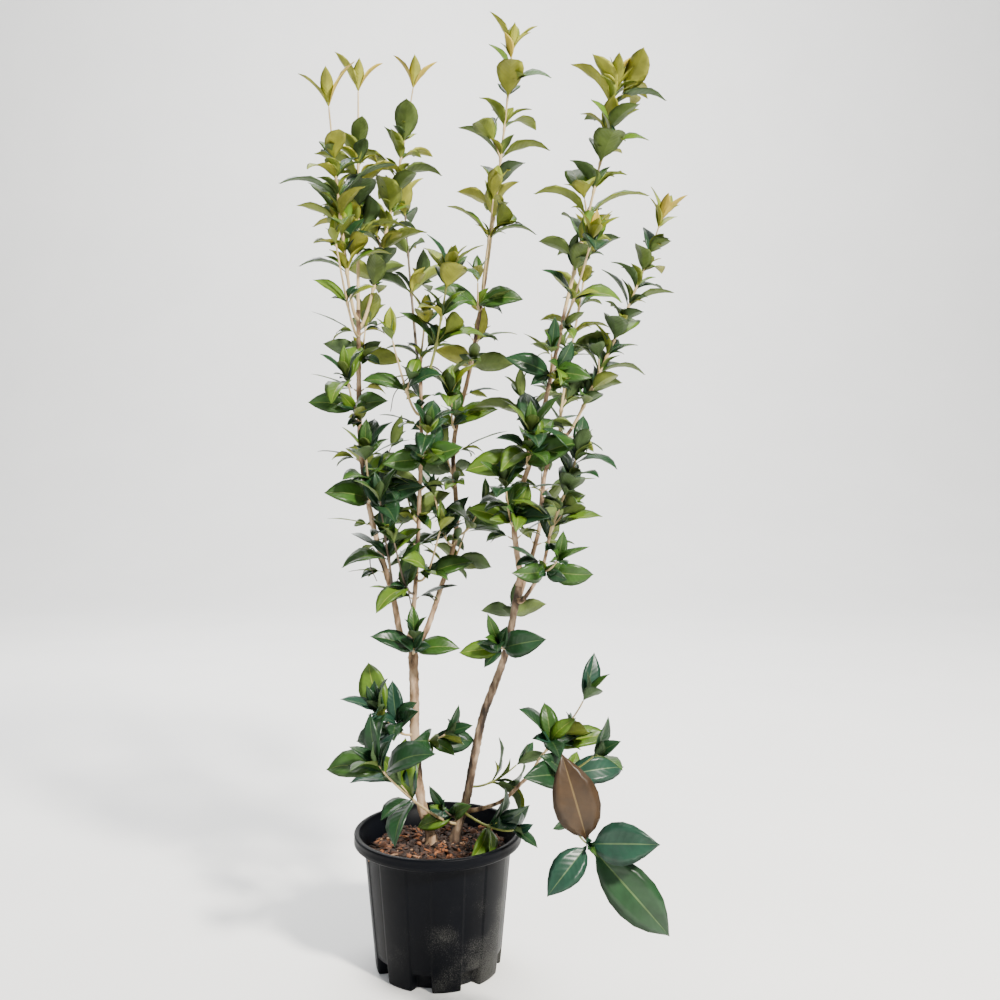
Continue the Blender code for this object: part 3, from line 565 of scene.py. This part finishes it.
def addTwig(place, along, pairTurn, half, twigLength, pair, size, radius, extra):
    # a side twig in an axil, with a pair of leaves and two small ones at its tip
    axil = place + twigRule["rise"] * along
    outward = around(along, pairTurn + half * math.pi + twigRule["turn"])
    rise = unit(math.cos(twigRule["spread"]) * along + math.sin(twigRule["spread"]) * outward)
    twigTip = axil + twigLength * rise
    for step, length in enumerate(pair):
        beside = around(rise, pairTurn + (step + 0.5) * math.pi)
        addLeaf(twigTip, rise, beside, twigRule["pairSpread"] * leaf["spread"], length * largerAt(twigTip[2]),
                radius, twigTip[2], extra)
    for i in range(2):
        beside = around(rise, pairTurn + i * math.pi + twigRule["smallTurn"])
        addLeaf(twigTip, rise, beside, twigRule["smallSpread"], size * extra.uniform(*twigRule["smallLength"]),
                radius, twigTip[2], extra)
    return makeLimb(np.vstack([axil - twigRule["rise"] * along, twigTip]), 0.8 * radius, 0.6 * radius)


def growMass(name, stem, bare, gap, nodes, twigs, size, turn, seed):
    # leafy nodes up the stem with crossed pairs, side twigs and small leaves in their axils, and
    # a tuft of two pairs at the tip
    chance = random.Random(seed)
    extra = random.Random(seed + 500)
    leafy = stem["length"] - bare - gap
    nodeRuns = []
    sideTwigs = []
    for node in range(nodes):
        run = bare + leafy * node / max(nodes - 1, 1)
        nodeRuns.append(run)
        place, along, radius = limbAt(stem, run / stem["length"])
        swell = pairRule["evenSwell"] + pairRule["middleSwell"] * math.sin(math.pi * (node + 0.5) / nodes)
        pairTurn = turn + node * math.pi / 2 + chance.uniform(-pairRule["turn"], pairRule["turn"])
        for half in (0, 1):
            outward = around(along, pairTurn + half * math.pi)
            spread = leaf["spread"] * chance.uniform(*pairRule["spread"])
            length = size * swell * chance.uniform(*pairRule["length"]) * largerAt(place[2])
            addLeaf(place, along, outward, spread, length, radius, place[2], extra)
            addSmallLeaves(place, along, pairTurn + half * math.pi, size, radius, extra)
            twigLength = size * chance.uniform(*twigRule["length"])
            pair = [chance.uniform(*twigRule["pairLength"]) * size for _ in range(2)]
            if node + half * nodes < twigs:
                sideTwigs.append(addTwig(place, along, pairTurn, half, twigLength, pair, size, radius, extra))
    for between in range(denseMasses.get(name, 0)):
        run = bare + leafy * (between + 0.5) / max(nodes - 1, 1)
        place, along, radius = limbAt(stem, min(run, stem["length"] - betweenRule["clear"]) / stem["length"])
        pairTurn = turn + between * math.pi / 2 + math.pi / 4
        nodeRuns.append(run)
        for half in (0, 1):
            outward = around(along, pairTurn + half * math.pi)
            addLeaf(place, along, outward, leaf["spread"] * extra.uniform(*betweenRule["spread"]),
                    size * extra.uniform(*betweenRule["length"]), radius, place[2], extra)
            addSmallLeaves(place, along, pairTurn + half * math.pi, size, radius, extra)
    growTuft(name, stem, nodes, size, turn, chance, extra)
    # shoots in shade take the dark skin, painted shade
    slot = 2 if name in shadedShoots else 1 if name in greenShoots else 0
    shootSurfaces.append(tubeSurface(stem, shoots["sides"], shoots["step"], shootSwell(nodeRuns),
                                     shoots["sink"], slot))
    for twig in sideTwigs:
        shootSurfaces.append(tubeSurface(twig, shoots["twigSides"], shoots["twigStep"], shootSwell([0.0]),
                                         0.0, slot))


def growTuft(name, stem, nodes, size, turn, chance, extra):
    place, along, radius = limbAt(stem, 1.0)
    for pair, (spread, share) in enumerate(tuftRule["pairs"]):
        pairTurn = turn + (nodes + pair) * math.pi / 2 + chance.uniform(-tuftRule["turn"], tuftRule["turn"])
        for half in (0, 1):
            outward = around(along, pairTurn + half * math.pi)
            length = size * share * chance.uniform(*tuftRule["length"]) * largerAt(place[2])
            addLeaf(place, along, outward, tuftRule["pairSpread"] * spread, length, radius, place[2],
                    extra, True)
    fuller, share = fullTufts.get(name, (0, 0))
    for i in range(fuller):
        outward = around(along, turn + i * tuftRule["fullTurn"])
        addLeaf(place - tuftRule["fullDrop"] * (i % 2) * along, along, outward,
                mix(*tuftRule["fullSpread"], i / fuller), size * share * extra.uniform(*tuftRule["length"]),
                radius, place[2], extra, True)


# the low front shoot ends in four large leaves: direction, length, width as a share of it, colour
frontLeaves = dict(node="shoot_low_front", size=0.03, facing=(-0.1, -0.9, 0.42), bend=0.55, twist=0.15)
frontLeaves["leaves"] = (
    # two of these leaves take the dark bluish green of painted shade
    ((-0.27, -0.18, 0.94), 0.118, 0.48, "copper"), ((0.78, -0.52, 0.20), 0.092, 0.54, "blue"),
    ((-0.62, -0.50, -0.55), 0.080, 0.48, "blue"), ((0.66, -0.18, -0.70), 0.150, 0.37, "deep"))


def growFrontLeaves(stem):
    place, along, radius = limbAt(stem, 1.0)
    facing = np.array(frontLeaves["facing"])
    for number, (direction, length, width, colour) in enumerate(frontLeaves["leaves"]):
        direction = unit(np.array(direction))
        face = unit(facing - (facing @ direction) * direction)
        leafList.append(dict(root=place, along=direction, face=face, length=length, width=width,
                             bend=frontLeaves["bend"], twist=frontLeaves["twist"], wave=1.7 * number,
                             own=0.5, colour=colour))


for seed, (name, carrier, share, tip, bare, gap, nodes, twigs, size, turn) in enumerate(massTable):
    goal = np.array(tip)
    start, outward = leave(limbs[carrier], share, goal)
    foot = min(shoots["slenderFoot"] + shoots["footPerLength"] * np.linalg.norm(goal - start), shoots["foot"])
    stem = makeLimb(sweptPath(start, outward, goal), foot, shoots["tip"])
    if name == frontLeaves["node"]:
        growFrontLeaves(stem)
        size = frontLeaves["size"]
    growMass(name, stem, bare, gap, nodes, twigs, size, math.radians(turn), seed)

# leaves that sit on the boughs themselves: crossed pairs on short spurs, between the masses;
# each bough has the share of its length where they start
spurs = dict(boughs=(("bough_left", 0.22), ("bough_middle", 0.12), ("bough_right", 0.20),
                     ("bough_front", 0.16), ("bough_rear", 0.30), ("bough_side", 0.6)),
             end=0.97, step=0.043, stepRange=(0.8, 1.25), size=0.052, sizeRange=(0.8, 1.25), length=0.007,
             lengthRange=(0.5, 1.3), firstTurn=0.4, turn=0.35, rise=0.8, spread=(0.3, 0.7),
             foot=0.0014, tip=0.0010, sides=6)


def growSpurs(name, first, seed):
    chance = random.Random(seed)
    bough = limbs[name]
    run = first * bough["length"]
    node = 0
    while run < spurs["end"] * bough["length"]:
        place, along, radius = limbAt(bough, run / bough["length"])
        pairTurn = spurs["firstTurn"] + node * math.pi / 2 + chance.uniform(-spurs["turn"], spurs["turn"])
        for half in (0, 1):
            outward = around(along, pairTurn + half * math.pi)
            rise = unit(outward + spurs["rise"] * along)
            tip = place + (radius + spurs["length"] * chance.uniform(*spurs["lengthRange"])) * rise
            spur = makeLimb(np.vstack([place, tip]), spurs["foot"], spurs["tip"])
            shootSurfaces.append(tubeSurface(spur, spurs["sides"], shoots["step"], shootSwell([0.0])))
            addLeaf(tip, rise, outward, chance.uniform(*spurs["spread"]),
                    spurs["size"] * chance.uniform(*spurs["sizeRange"]), spurs["tip"], tip[2], chance)
            addSmallLeaves(tip, rise, pairTurn + half * math.pi, spurs["size"], spurs["tip"], chance)
        run += spurs["step"] * chance.uniform(*spurs["stepRange"])
        node += 1


for seed, (name, first) in enumerate(spurs["boughs"], 900):
    growSpurs(name, first, seed)

# dead twigs and the stub of a pruned shoot: carrier, share of its length, points, foot and tip
# radius, and skin
deadTable = (
    ("bough_left", 0.20, ((-0.096, -0.004, 0.628), (-0.098, -0.010, 0.604), (-0.088, -0.014, 0.580)),
     0.0013, 0.0007, 0),
    ("bough_middle", 0.07, ((-0.052, -0.008, 0.588), (-0.068, -0.016, 0.566), (-0.074, -0.018, 0.574)),
     0.0012, 0.0007, 0),
    ("bough_right", 0.66, ((-0.010, 0.030, 0.898), (-0.062, 0.020, 0.860), (-0.070, 0.018, 0.830)),
     0.0014, 0.0007, 0),
    ("trunk_left", 0.455, ((-0.0445, 0.002, 0.326), (-0.0475, -0.001, 0.3275)), 0.0056, 0.0050, 1),
)
deadSkins = [mottled("dead twig", (0.075, 0.060, 0.048), 0.35, 200, 0.9, 0.4, 0.0004, alongStem),
             mottled("cut wood", (0.30, 0.12, 0.045), 0.4, 200, 0.85, 0.4, 0.0006)]
deadSurfaces = []
for seed, (carrier, share, points, foot, tip, skin) in enumerate(deadTable, 30):
    place, along, radius = limbAt(limbs[carrier], share)
    twig = makeLimb(smoothPath(np.vstack([place, points])), foot, tip)
    deadSurfaces.append(tubeSurface(twig, 12, 0.0015, barkSwell(seed), 0.0, skin))
makePiece("dead_twigs", deadSurfaces, deadSkins)

massNames = [row[0] for row in massTable]
makePiece("shoots", shootSurfaces, stemSkins, massNames)

blade = dict(gloss=0.32, ribRoughness=0.45, underRoughness=0.6, patchScale=45, darker=0.78, lighter=1.28,
             veinClimb=-0.20, veins=64.0, topBump=0.16, otherBump=0.22, bumpHeight=0.0004)


def leafMaterials(name, top, rib, under, roughness):
    # the top is glossy, the underside is matt; both have veins, a sine of the run along the
    # blade less a share of the distance from the rib
    skins = []
    for part, colour, rough in (("top", top, roughness), ("rib", rib, blade["ribRoughness"]),
                                ("under", under, blade["underRoughness"])):
        material, nodes, links, shader, source = newMaterial(name + " " + part, rough,
                                                             Specular_IOR_Level=blade["gloss"])
        patches = noiseOf(nodes, links, source, blade["patchScale"], 3.0)
        low, high = (tuple(c * k for c in colour) for k in (blade["darker"], blade["lighter"]))
        links.new(rampOf(nodes, links, patches, ((0.32, low), (0.68, high))), shader.inputs["Base Color"])
        place = nodes.new("ShaderNodeAttribute")
        place.attribute_name = "place"
        run, fromRib, own = splitOf(nodes, links, place.outputs["Vector"])
        climb = mathOf(nodes, links, "MULTIPLY_ADD", fromRib, blade["veinClimb"], run)
        wave = mathOf(nodes, links, "SINE", mathOf(nodes, links, "MULTIPLY", climb, blade["veins"]))
        bump = blade["topBump"] if part == "top" else blade["otherBump"]
        bumpOf(nodes, links, wave, bump, blade["bumpHeight"], shader)
        skins.append(material)
    return skins


def leafSurface(leaves):
    # along the rib the angle to the stem grows with the run, so the rib arches over; the half
    # width is a root of a sine, narrowed near the end so that it draws out to a tip;
    # the halves fold up from the rib and the margin ripples; each ring has six points above and
    # four below, which closes the blade
    root, along, face = (np.array([one[key] for one in leaves]) for key in ("root", "along", "face"))
    length, bend, wave, width, own, twist = (
        np.array([one[key] for one in leaves])[:, None]
        for key in ("length", "bend", "wave", "width", "own", "twist"))
    side = np.cross(face, along)
    fine = np.linspace(0, 1, 61)
    angle = bend * leaf["arch"] * fine[None]**leaf["archPower"] - leaf["rootAngle"]
    s = np.array(leaf["rows"])
    forward = np.stack([np.interp(s, fine, np.cumsum(np.cos(a)) / len(fine)) for a in angle])
    down = np.stack([np.interp(s, fine, np.cumsum(np.sin(a)) / len(fine)) for a in angle])
    theta = bend * leaf["arch"] * s[None]**leaf["archPower"] - leaf["rootAngle"]
    reach = forward[..., None] * along[:, None] - down[..., None] * face[:, None]
    rib = root[:, None] + length[..., None] * reach
    normal = np.cos(theta)[..., None] * face[:, None] + np.sin(theta)[..., None] * along[:, None]
    stalk = 0.09
    onBlade = np.clip((s - stalk) / (1 - stalk), 0, 1)
    oval = np.sin(np.pi * onBlade**0.92)**0.75 * (1 - 0.45 * onBlade**6)
    half = length * (0.5 * width * oval + 0.012 * (1 - onBlade))
    w = np.array((1, 0.55, 0.04, -0.04, -0.55, -1, -0.55, -0.04, 0.04, 0.55))
    above = np.array((0, 1, -0.4, -0.4, 1, 0, -1, -2.2, -2.2, -1)) * leaf["thick"] * 0.5
    roll = twist * s
    across = np.cos(roll)[..., None] * side[:, None] + np.sin(roll)[..., None] * normal
    upward = np.cos(roll)[..., None] * normal - np.sin(roll)[..., None] * side[:, None]
    bow = leaf["fold"] * np.abs(w) - 0.14 * w**2
    margin = np.sin(leaf["edgeWaves"] * s[None, :, None] + wave[..., None] + 1.3 * np.sign(w))
    lift = half[..., None] * (bow + leaf["edge"] * margin * w**2) + above * length[..., None]
    rings = rib[:, :, None] + (half[..., None] * w)[..., None] * across[:, :, None]
    rings = rings + lift[..., None] * upward[:, :, None]
    tip = root + length * (forward[:, -1:] + 0.035) * along - length * (down[:, -1:] + 0.02) * face
    skins = np.array((0, 0, 1, 0, 0, 2, 2, 2, 2, 2))
    surface = ringSurface(rings, root, tip, skins, np.arange(len(w)) >= 5)
    # each vertex keeps its run along the blade, its distance from the rib and the leaf's own number
    place = np.zeros((len(leaves), len(s) * len(w) + 2, 3))
    place[:, :-2, 0] = np.repeat(s, len(w))
    place[:, :-2, 1] = np.tile(np.abs(w), len(s))
    place[:, :, 2] = own
    return surface, place.reshape(-1, 3)


for colour, values in leafColours.items():
    chosen = [one for one in leafList if one["colour"] == colour]
    if chosen:
        surface, place = leafSurface(chosen)
        makePiece("leaves_" + colour, [surface], leafMaterials(colour, *values), massNames, place)
print("leaves:", len(leafList))


# the pot: a profile turned round, with panels and grooves on the wall and eight feet

pot = dict(height=0.205, rim=0.125, mouth=0.117, wallTop=0.110, wallTopHeight=0.187, foot=0.0935, lip=0.0025,
           wall=0.0028, floor=0.028, footHeight=0.024, recess=0.0145, feet=8, firstFoot=math.radians(-79),
           panel=0.0011, groove=0.60, steps=384)
# pale specks on the pot: how fast they grow to the right, painted light on the lit side, and fall with height,
# and their colours; the two dark colours are tinted bluish as a painted reflection
paintedLightSpecks = dict(litToRight=0.7, withHeight=-0.55, stops=(
    (0.22, (0.0018, 0.0023, 0.0038)), (0.28, (0.0034, 0.0039, 0.0052)), (0.37, (0.036, 0.036, 0.034))))


def potMaterial():
    # black plastic with a fine grain, dark colours tinted bluish as a painted reflection, and pale specks low on
    # the right that are painted light on the lit side
    material, nodes, links, shader, source = newMaterial("black plastic", 0.42, Specular_IOR_Level=0.06)
    speck = noiseOf(nodes, links, source, 900, 2.0)
    cloud = noiseOf(nodes, links, source, 18, 4.0)
    x, y, z = splitOf(nodes, links, source)
    spots = mathOf(nodes, links, "MULTIPLY", speck, cloud)
    # painted light: the pale specks grow towards the right, where the lamp falls
    paintedLight = mathOf(nodes, links, "MULTIPLY_ADD", x, paintedLightSpecks["litToRight"], spots)
    lower = mathOf(nodes, links, "MULTIPLY_ADD", z, paintedLightSpecks["withHeight"], paintedLight)
    links.new(rampOf(nodes, links, lower, paintedLightSpecks["stops"]), shader.inputs["Base Color"])
    bumpOf(nodes, links, speck, 0.25, 0.0003, shader)
    return material


def potSurface():
    # radius and height go up the outer wall, out under the rim, over its round lip and down
    # inside; between the feet the wall steps in, and above them are flat panels with grooves
    turn = np.arange(pot["steps"]) * 2 * np.pi / pot["steps"]
    h, lip, rim, foot = pot["height"], pot["lip"], pot["rim"], pot["foot"]
    top, topHeight, inside = pot["wallTop"], pot["wallTopHeight"], pot["wallTop"] - pot["wall"]
    outer = [(0.03, 0.0), (0.060, 0.0), (foot - pot["recess"] - 0.001, 0.0), (foot - 0.003, 0.0),
             (foot - 0.0007, 0.0008), (foot, 0.003)]
    for share in np.linspace(0.06, 1, 22):
        outer.append((mix(foot, top, share), mix(0.0, topHeight, share)))
    skirt = [(top + 0.0010, topHeight + 0.0006), (rim - 3 * lip, h - 6.6 * lip),
             (rim - 0.5 * lip, h - 6.4 * lip), (rim, h - 5.8 * lip), (rim, h - 4 * lip),
             (rim - 0.0004, h - 3 * lip), (rim - 0.0004, h - 2 * lip)]
    quarter = np.linspace(0, np.pi / 2, 5)
    brim = [(rim - lip + lip * math.cos(a), h - lip + lip * math.sin(a)) for a in quarter]
    inner = [(pot["mouth"] + lip / 2, h), (pot["mouth"] + 0.0004, h - 0.0006), (pot["mouth"], h - 0.0018),
             (pot["mouth"] - 0.0022, h - 0.009), (inside, topHeight), (inside - 0.003, 0.150),
             (foot - 2 * pot["wall"], 0.030), (foot - pot["recess"] - 0.008, pot["floor"]), (0.05, pot["floor"])]
    profile = np.array(outer + skirt + brim + inner)
    r, z = profile[:, :1], profile[:, 1:]
    sector = 2 * np.pi / pot["feet"]
    offset = np.abs((turn[None] - pot["firstFoot"] + sector / 2) % sector - sector / 2) / (sector / 2)
    onWall = (np.arange(len(profile)) < len(outer))[:, None]
    gap = smoothStep(0.56, 0.66, offset)
    low = 1 - smoothStep(pot["footHeight"] - 0.004, pot["footHeight"] + 0.002, z)
    radius = r - onWall * gap * low * pot["recess"] * (r > 0.075)
    body = onWall * (r > 0.08) * (1 - low) * smoothStep(0.0, 0.01, topHeight - z)
    groove = 0.9 * np.exp(-((offset - pot["groove"]) / 0.02)**2)
    radius = radius - body * pot["panel"] * (gap + groove)
    rings = np.stack([radius * np.cos(turn), radius * np.sin(turn), np.broadcast_to(z, radius.shape)], axis=-1)
    return ringSurface(rings[None], np.array([[0, 0, 0.0]]), np.array([[0, 0, pot["floor"]]]))


makePiece("nursery_pot", [potSurface()], [potMaterial()], ["pot"])


# the mix: a bumpy bed and loose chips of bark on it

soil = dict(edge=0.1045, under=0.03, drop=0.002, mound=0.004, bump=0.0035, around=160, rings=48)
chips = dict(count=1700, length=(0.004, 0.022), reach=0.97, lift=0.0035, tilt=0.35, flat=0.9,
             width=(0.12, 0.32), thick=(0.25, 0.7), jag=(0.7, 1.2), shares=(0.46, 0.32, 0.16, 0.06))
chipColours = (("chip dark", (0.022, 0.011, 0.007)), ("chip brown", (0.060, 0.024, 0.012)),
               ("chip orange", (0.200, 0.070, 0.024)), ("chip pale", (0.240, 0.135, 0.075)))


def bedHeight(x, y):
    # a low mound with a coarse and a fine ripple
    spot = np.stack([x, y, 0 * x], axis=-1)
    mound = soil["mound"] * (1 - (np.hypot(x, y) / soil["edge"])**2)
    waver = 0.5 * ripple(spot, 90, 5) + 0.5 * ripple(spot, 420, 6)
    return soilLevel - soil["drop"] + mound + soil["bump"] * waver


def bedSurface():
    # rings from the middle of the underside out, up the side and back in over the bumpy top
    turn = np.arange(soil["around"]) * 2 * np.pi / soil["around"]
    radii = np.concatenate([[0.03, 0.095], np.linspace(soil["edge"], 0.002, soil["rings"])])
    x, y = radii[:, None] * np.cos(turn), radii[:, None] * np.sin(turn)
    z = bedHeight(x, y)
    z[:2] = soilLevel - soil["under"]
    return ringSurface(np.stack([x, y, z], axis=-1)[None], np.array([[0, 0, soilLevel - soil["under"]]]),
                       np.array([[0, 0, float(bedHeight(np.zeros(1), np.zeros(1))[0])]]))


def chipSurfaces():
    # flat splinters: three rings of six points and two ends, each turned and tilted by chance
    chance = np.random.default_rng(11)
    n = chips["count"]
    distance = soil["edge"] * chips["reach"] * np.sqrt(chance.random(n))
    bearing = chance.uniform(0, 2 * np.pi, n)
    spot = np.stack([distance * np.cos(bearing), distance * np.sin(bearing)], axis=-1)
    height = bedHeight(*spot.T)[:, None] + chance.uniform(0, chips["lift"], (n, 1))
    centre = np.concatenate([spot, height], axis=1)
    size = chance.uniform(*chips["length"], n) * (0.5 + 0.5 * chance.random(n))
    tilt = chance.normal(0, chips["tilt"], n)
    along = unit(np.stack([np.cos(bearing * 7), np.sin(bearing * 7), tilt], axis=-1))
    upward = unit(np.cross(along, unit(chance.normal(size=(n, 3)) + 0.1)) + chips["flat"] * up)
    side = unit(np.cross(upward, along))
    upward = np.cross(along, side)
    turn = np.arange(6) * np.pi / 3
    rows = np.array((-0.8, 0.0, 0.8))
    girth = np.array((0.75, 1.0, 0.7))
    wide = chance.uniform(*chips["width"], n) * size
    thick = wide * chance.uniform(*chips["thick"], n)
    jag = chance.uniform(*chips["jag"], (n, 3, 6, 1))
    across = (wide[:, None] * girth)[..., None, None] * side[:, None, None]
    above = (thick[:, None] * girth)[..., None, None] * upward[:, None, None]
    ring = np.cos(turn)[None, None, :, None] * across + np.sin(turn)[None, None, :, None] * above
    half = 0.5 * size[:, None]
    rings = centre[:, None, None] + jag * ring + (half * rows)[..., None, None] * along[:, None, None]
    starts, ends = centre - half * along, centre + half * along
    kinds = chance.choice(len(chipColours), n, p=chips["shares"])
    return [ringSurface(rings[kinds == k], starts[kinds == k], ends[kinds == k], np.full(6, k))
            for k in range(len(chipColours))]


soilSkin = mottled("dark mix", (0.020, 0.011, 0.007), 0.6, 260, 0.95, 0.8, 0.002)
chipSkins = [mottled(name, colour, 0.35, 160, 0.9, 0.5, 0.0008) for name, colour in chipColours]
makePiece("mix_bed", [bedSurface()], [soilSkin], ["soil"])
makePiece("mix_chips", chipSurfaces(), chipSkins)


# floor, light and camera

studio = dict(floor=(0.90, 0.90, 0.89), sky=(0.95, 0.97, 1.0), skyStrength=0.5,
              front=-7.0, bendAt=3.5, bend=2.5, wall=7.0, side=9)

# each lamp: name, place, where it points, size, power and colour
lamps = (
    ("key", (1.9, -2.2, 3.0), (0.05, 0, 0.7), 0.45, 430, (1.0, 0.95, 0.86)),
    ("fill", (-2.6, -2.0, 1.6), (0, 0, 0.7), 2.2, 22, (0.92, 0.96, 1.0)),
    ("rim", (-1.2, 2.4, 2.4), (0, 0, 0.8), 1.4, 45, (1.0, 1.0, 1.0)),
    ("wall", (0, 1.5, 4.5), (0, 5.5, 1.2), 3.0, 420, (1.0, 1.0, 1.0)),
)
viewpoint = dict(place=(0.093, -1.557, 0.775), tilt=2.8, lens=37.98, sensor=36)

# the floor runs back level and curves up into a wall
arc = np.linspace(0, np.pi / 2, 24)
profile = [(studio["front"], 0.0),
           *zip(studio["bendAt"] + studio["bend"] * np.sin(arc), studio["bend"] * (1 - np.cos(arc))),
           (studio["bendAt"] + studio["bend"], studio["wall"])]
floorPoints = [(x, y, z) for y, z in profile for x in (-studio["side"], studio["side"])]
floorMesh = bpy.data.meshes.new("floor")
floorMesh.from_pydata(floorPoints, [], [(i, i + 1, i + 3, i + 2) for i in range(0, len(floorPoints) - 2, 2)])
floorMesh.shade_smooth()
floorMesh.materials.append(mottled("pale floor", studio["floor"], 0.015, 3, 0.9, 0.02, 0.001))
floor = bpy.data.objects.new("floor", floorMesh)
bpy.context.scene.collection.objects.link(floor)

for name, place, target, size, power, colour in lamps:
    light = bpy.data.lights.new(name, "AREA")
    light.shape = "DISK"
    light.size = size
    light.energy = power
    light.color = colour
    lamp = bpy.data.objects.new(name, light)
    bpy.context.scene.collection.objects.link(lamp)
    lamp.location = place
    lamp.rotation_euler = (Vector(target) - Vector(place)).to_track_quat("-Z", "Y").to_euler()

world = bpy.data.worlds.new("studio")
world.use_nodes = True
world.node_tree.nodes["Background"].inputs["Color"].default_value = (*studio["sky"], 1)
world.node_tree.nodes["Background"].inputs["Strength"].default_value = studio["skyStrength"]
bpy.context.scene.world = world

camera = bpy.data.objects.new("camera", bpy.data.cameras.new("camera"))
camera.data.lens = viewpoint["lens"]
camera.data.sensor_width = viewpoint["sensor"]
camera.location = viewpoint["place"]
camera.rotation_euler = (math.radians(90 - viewpoint["tilt"]), 0, 0)
bpy.context.scene.collection.objects.link(camera)
bpy.context.scene.camera = camera
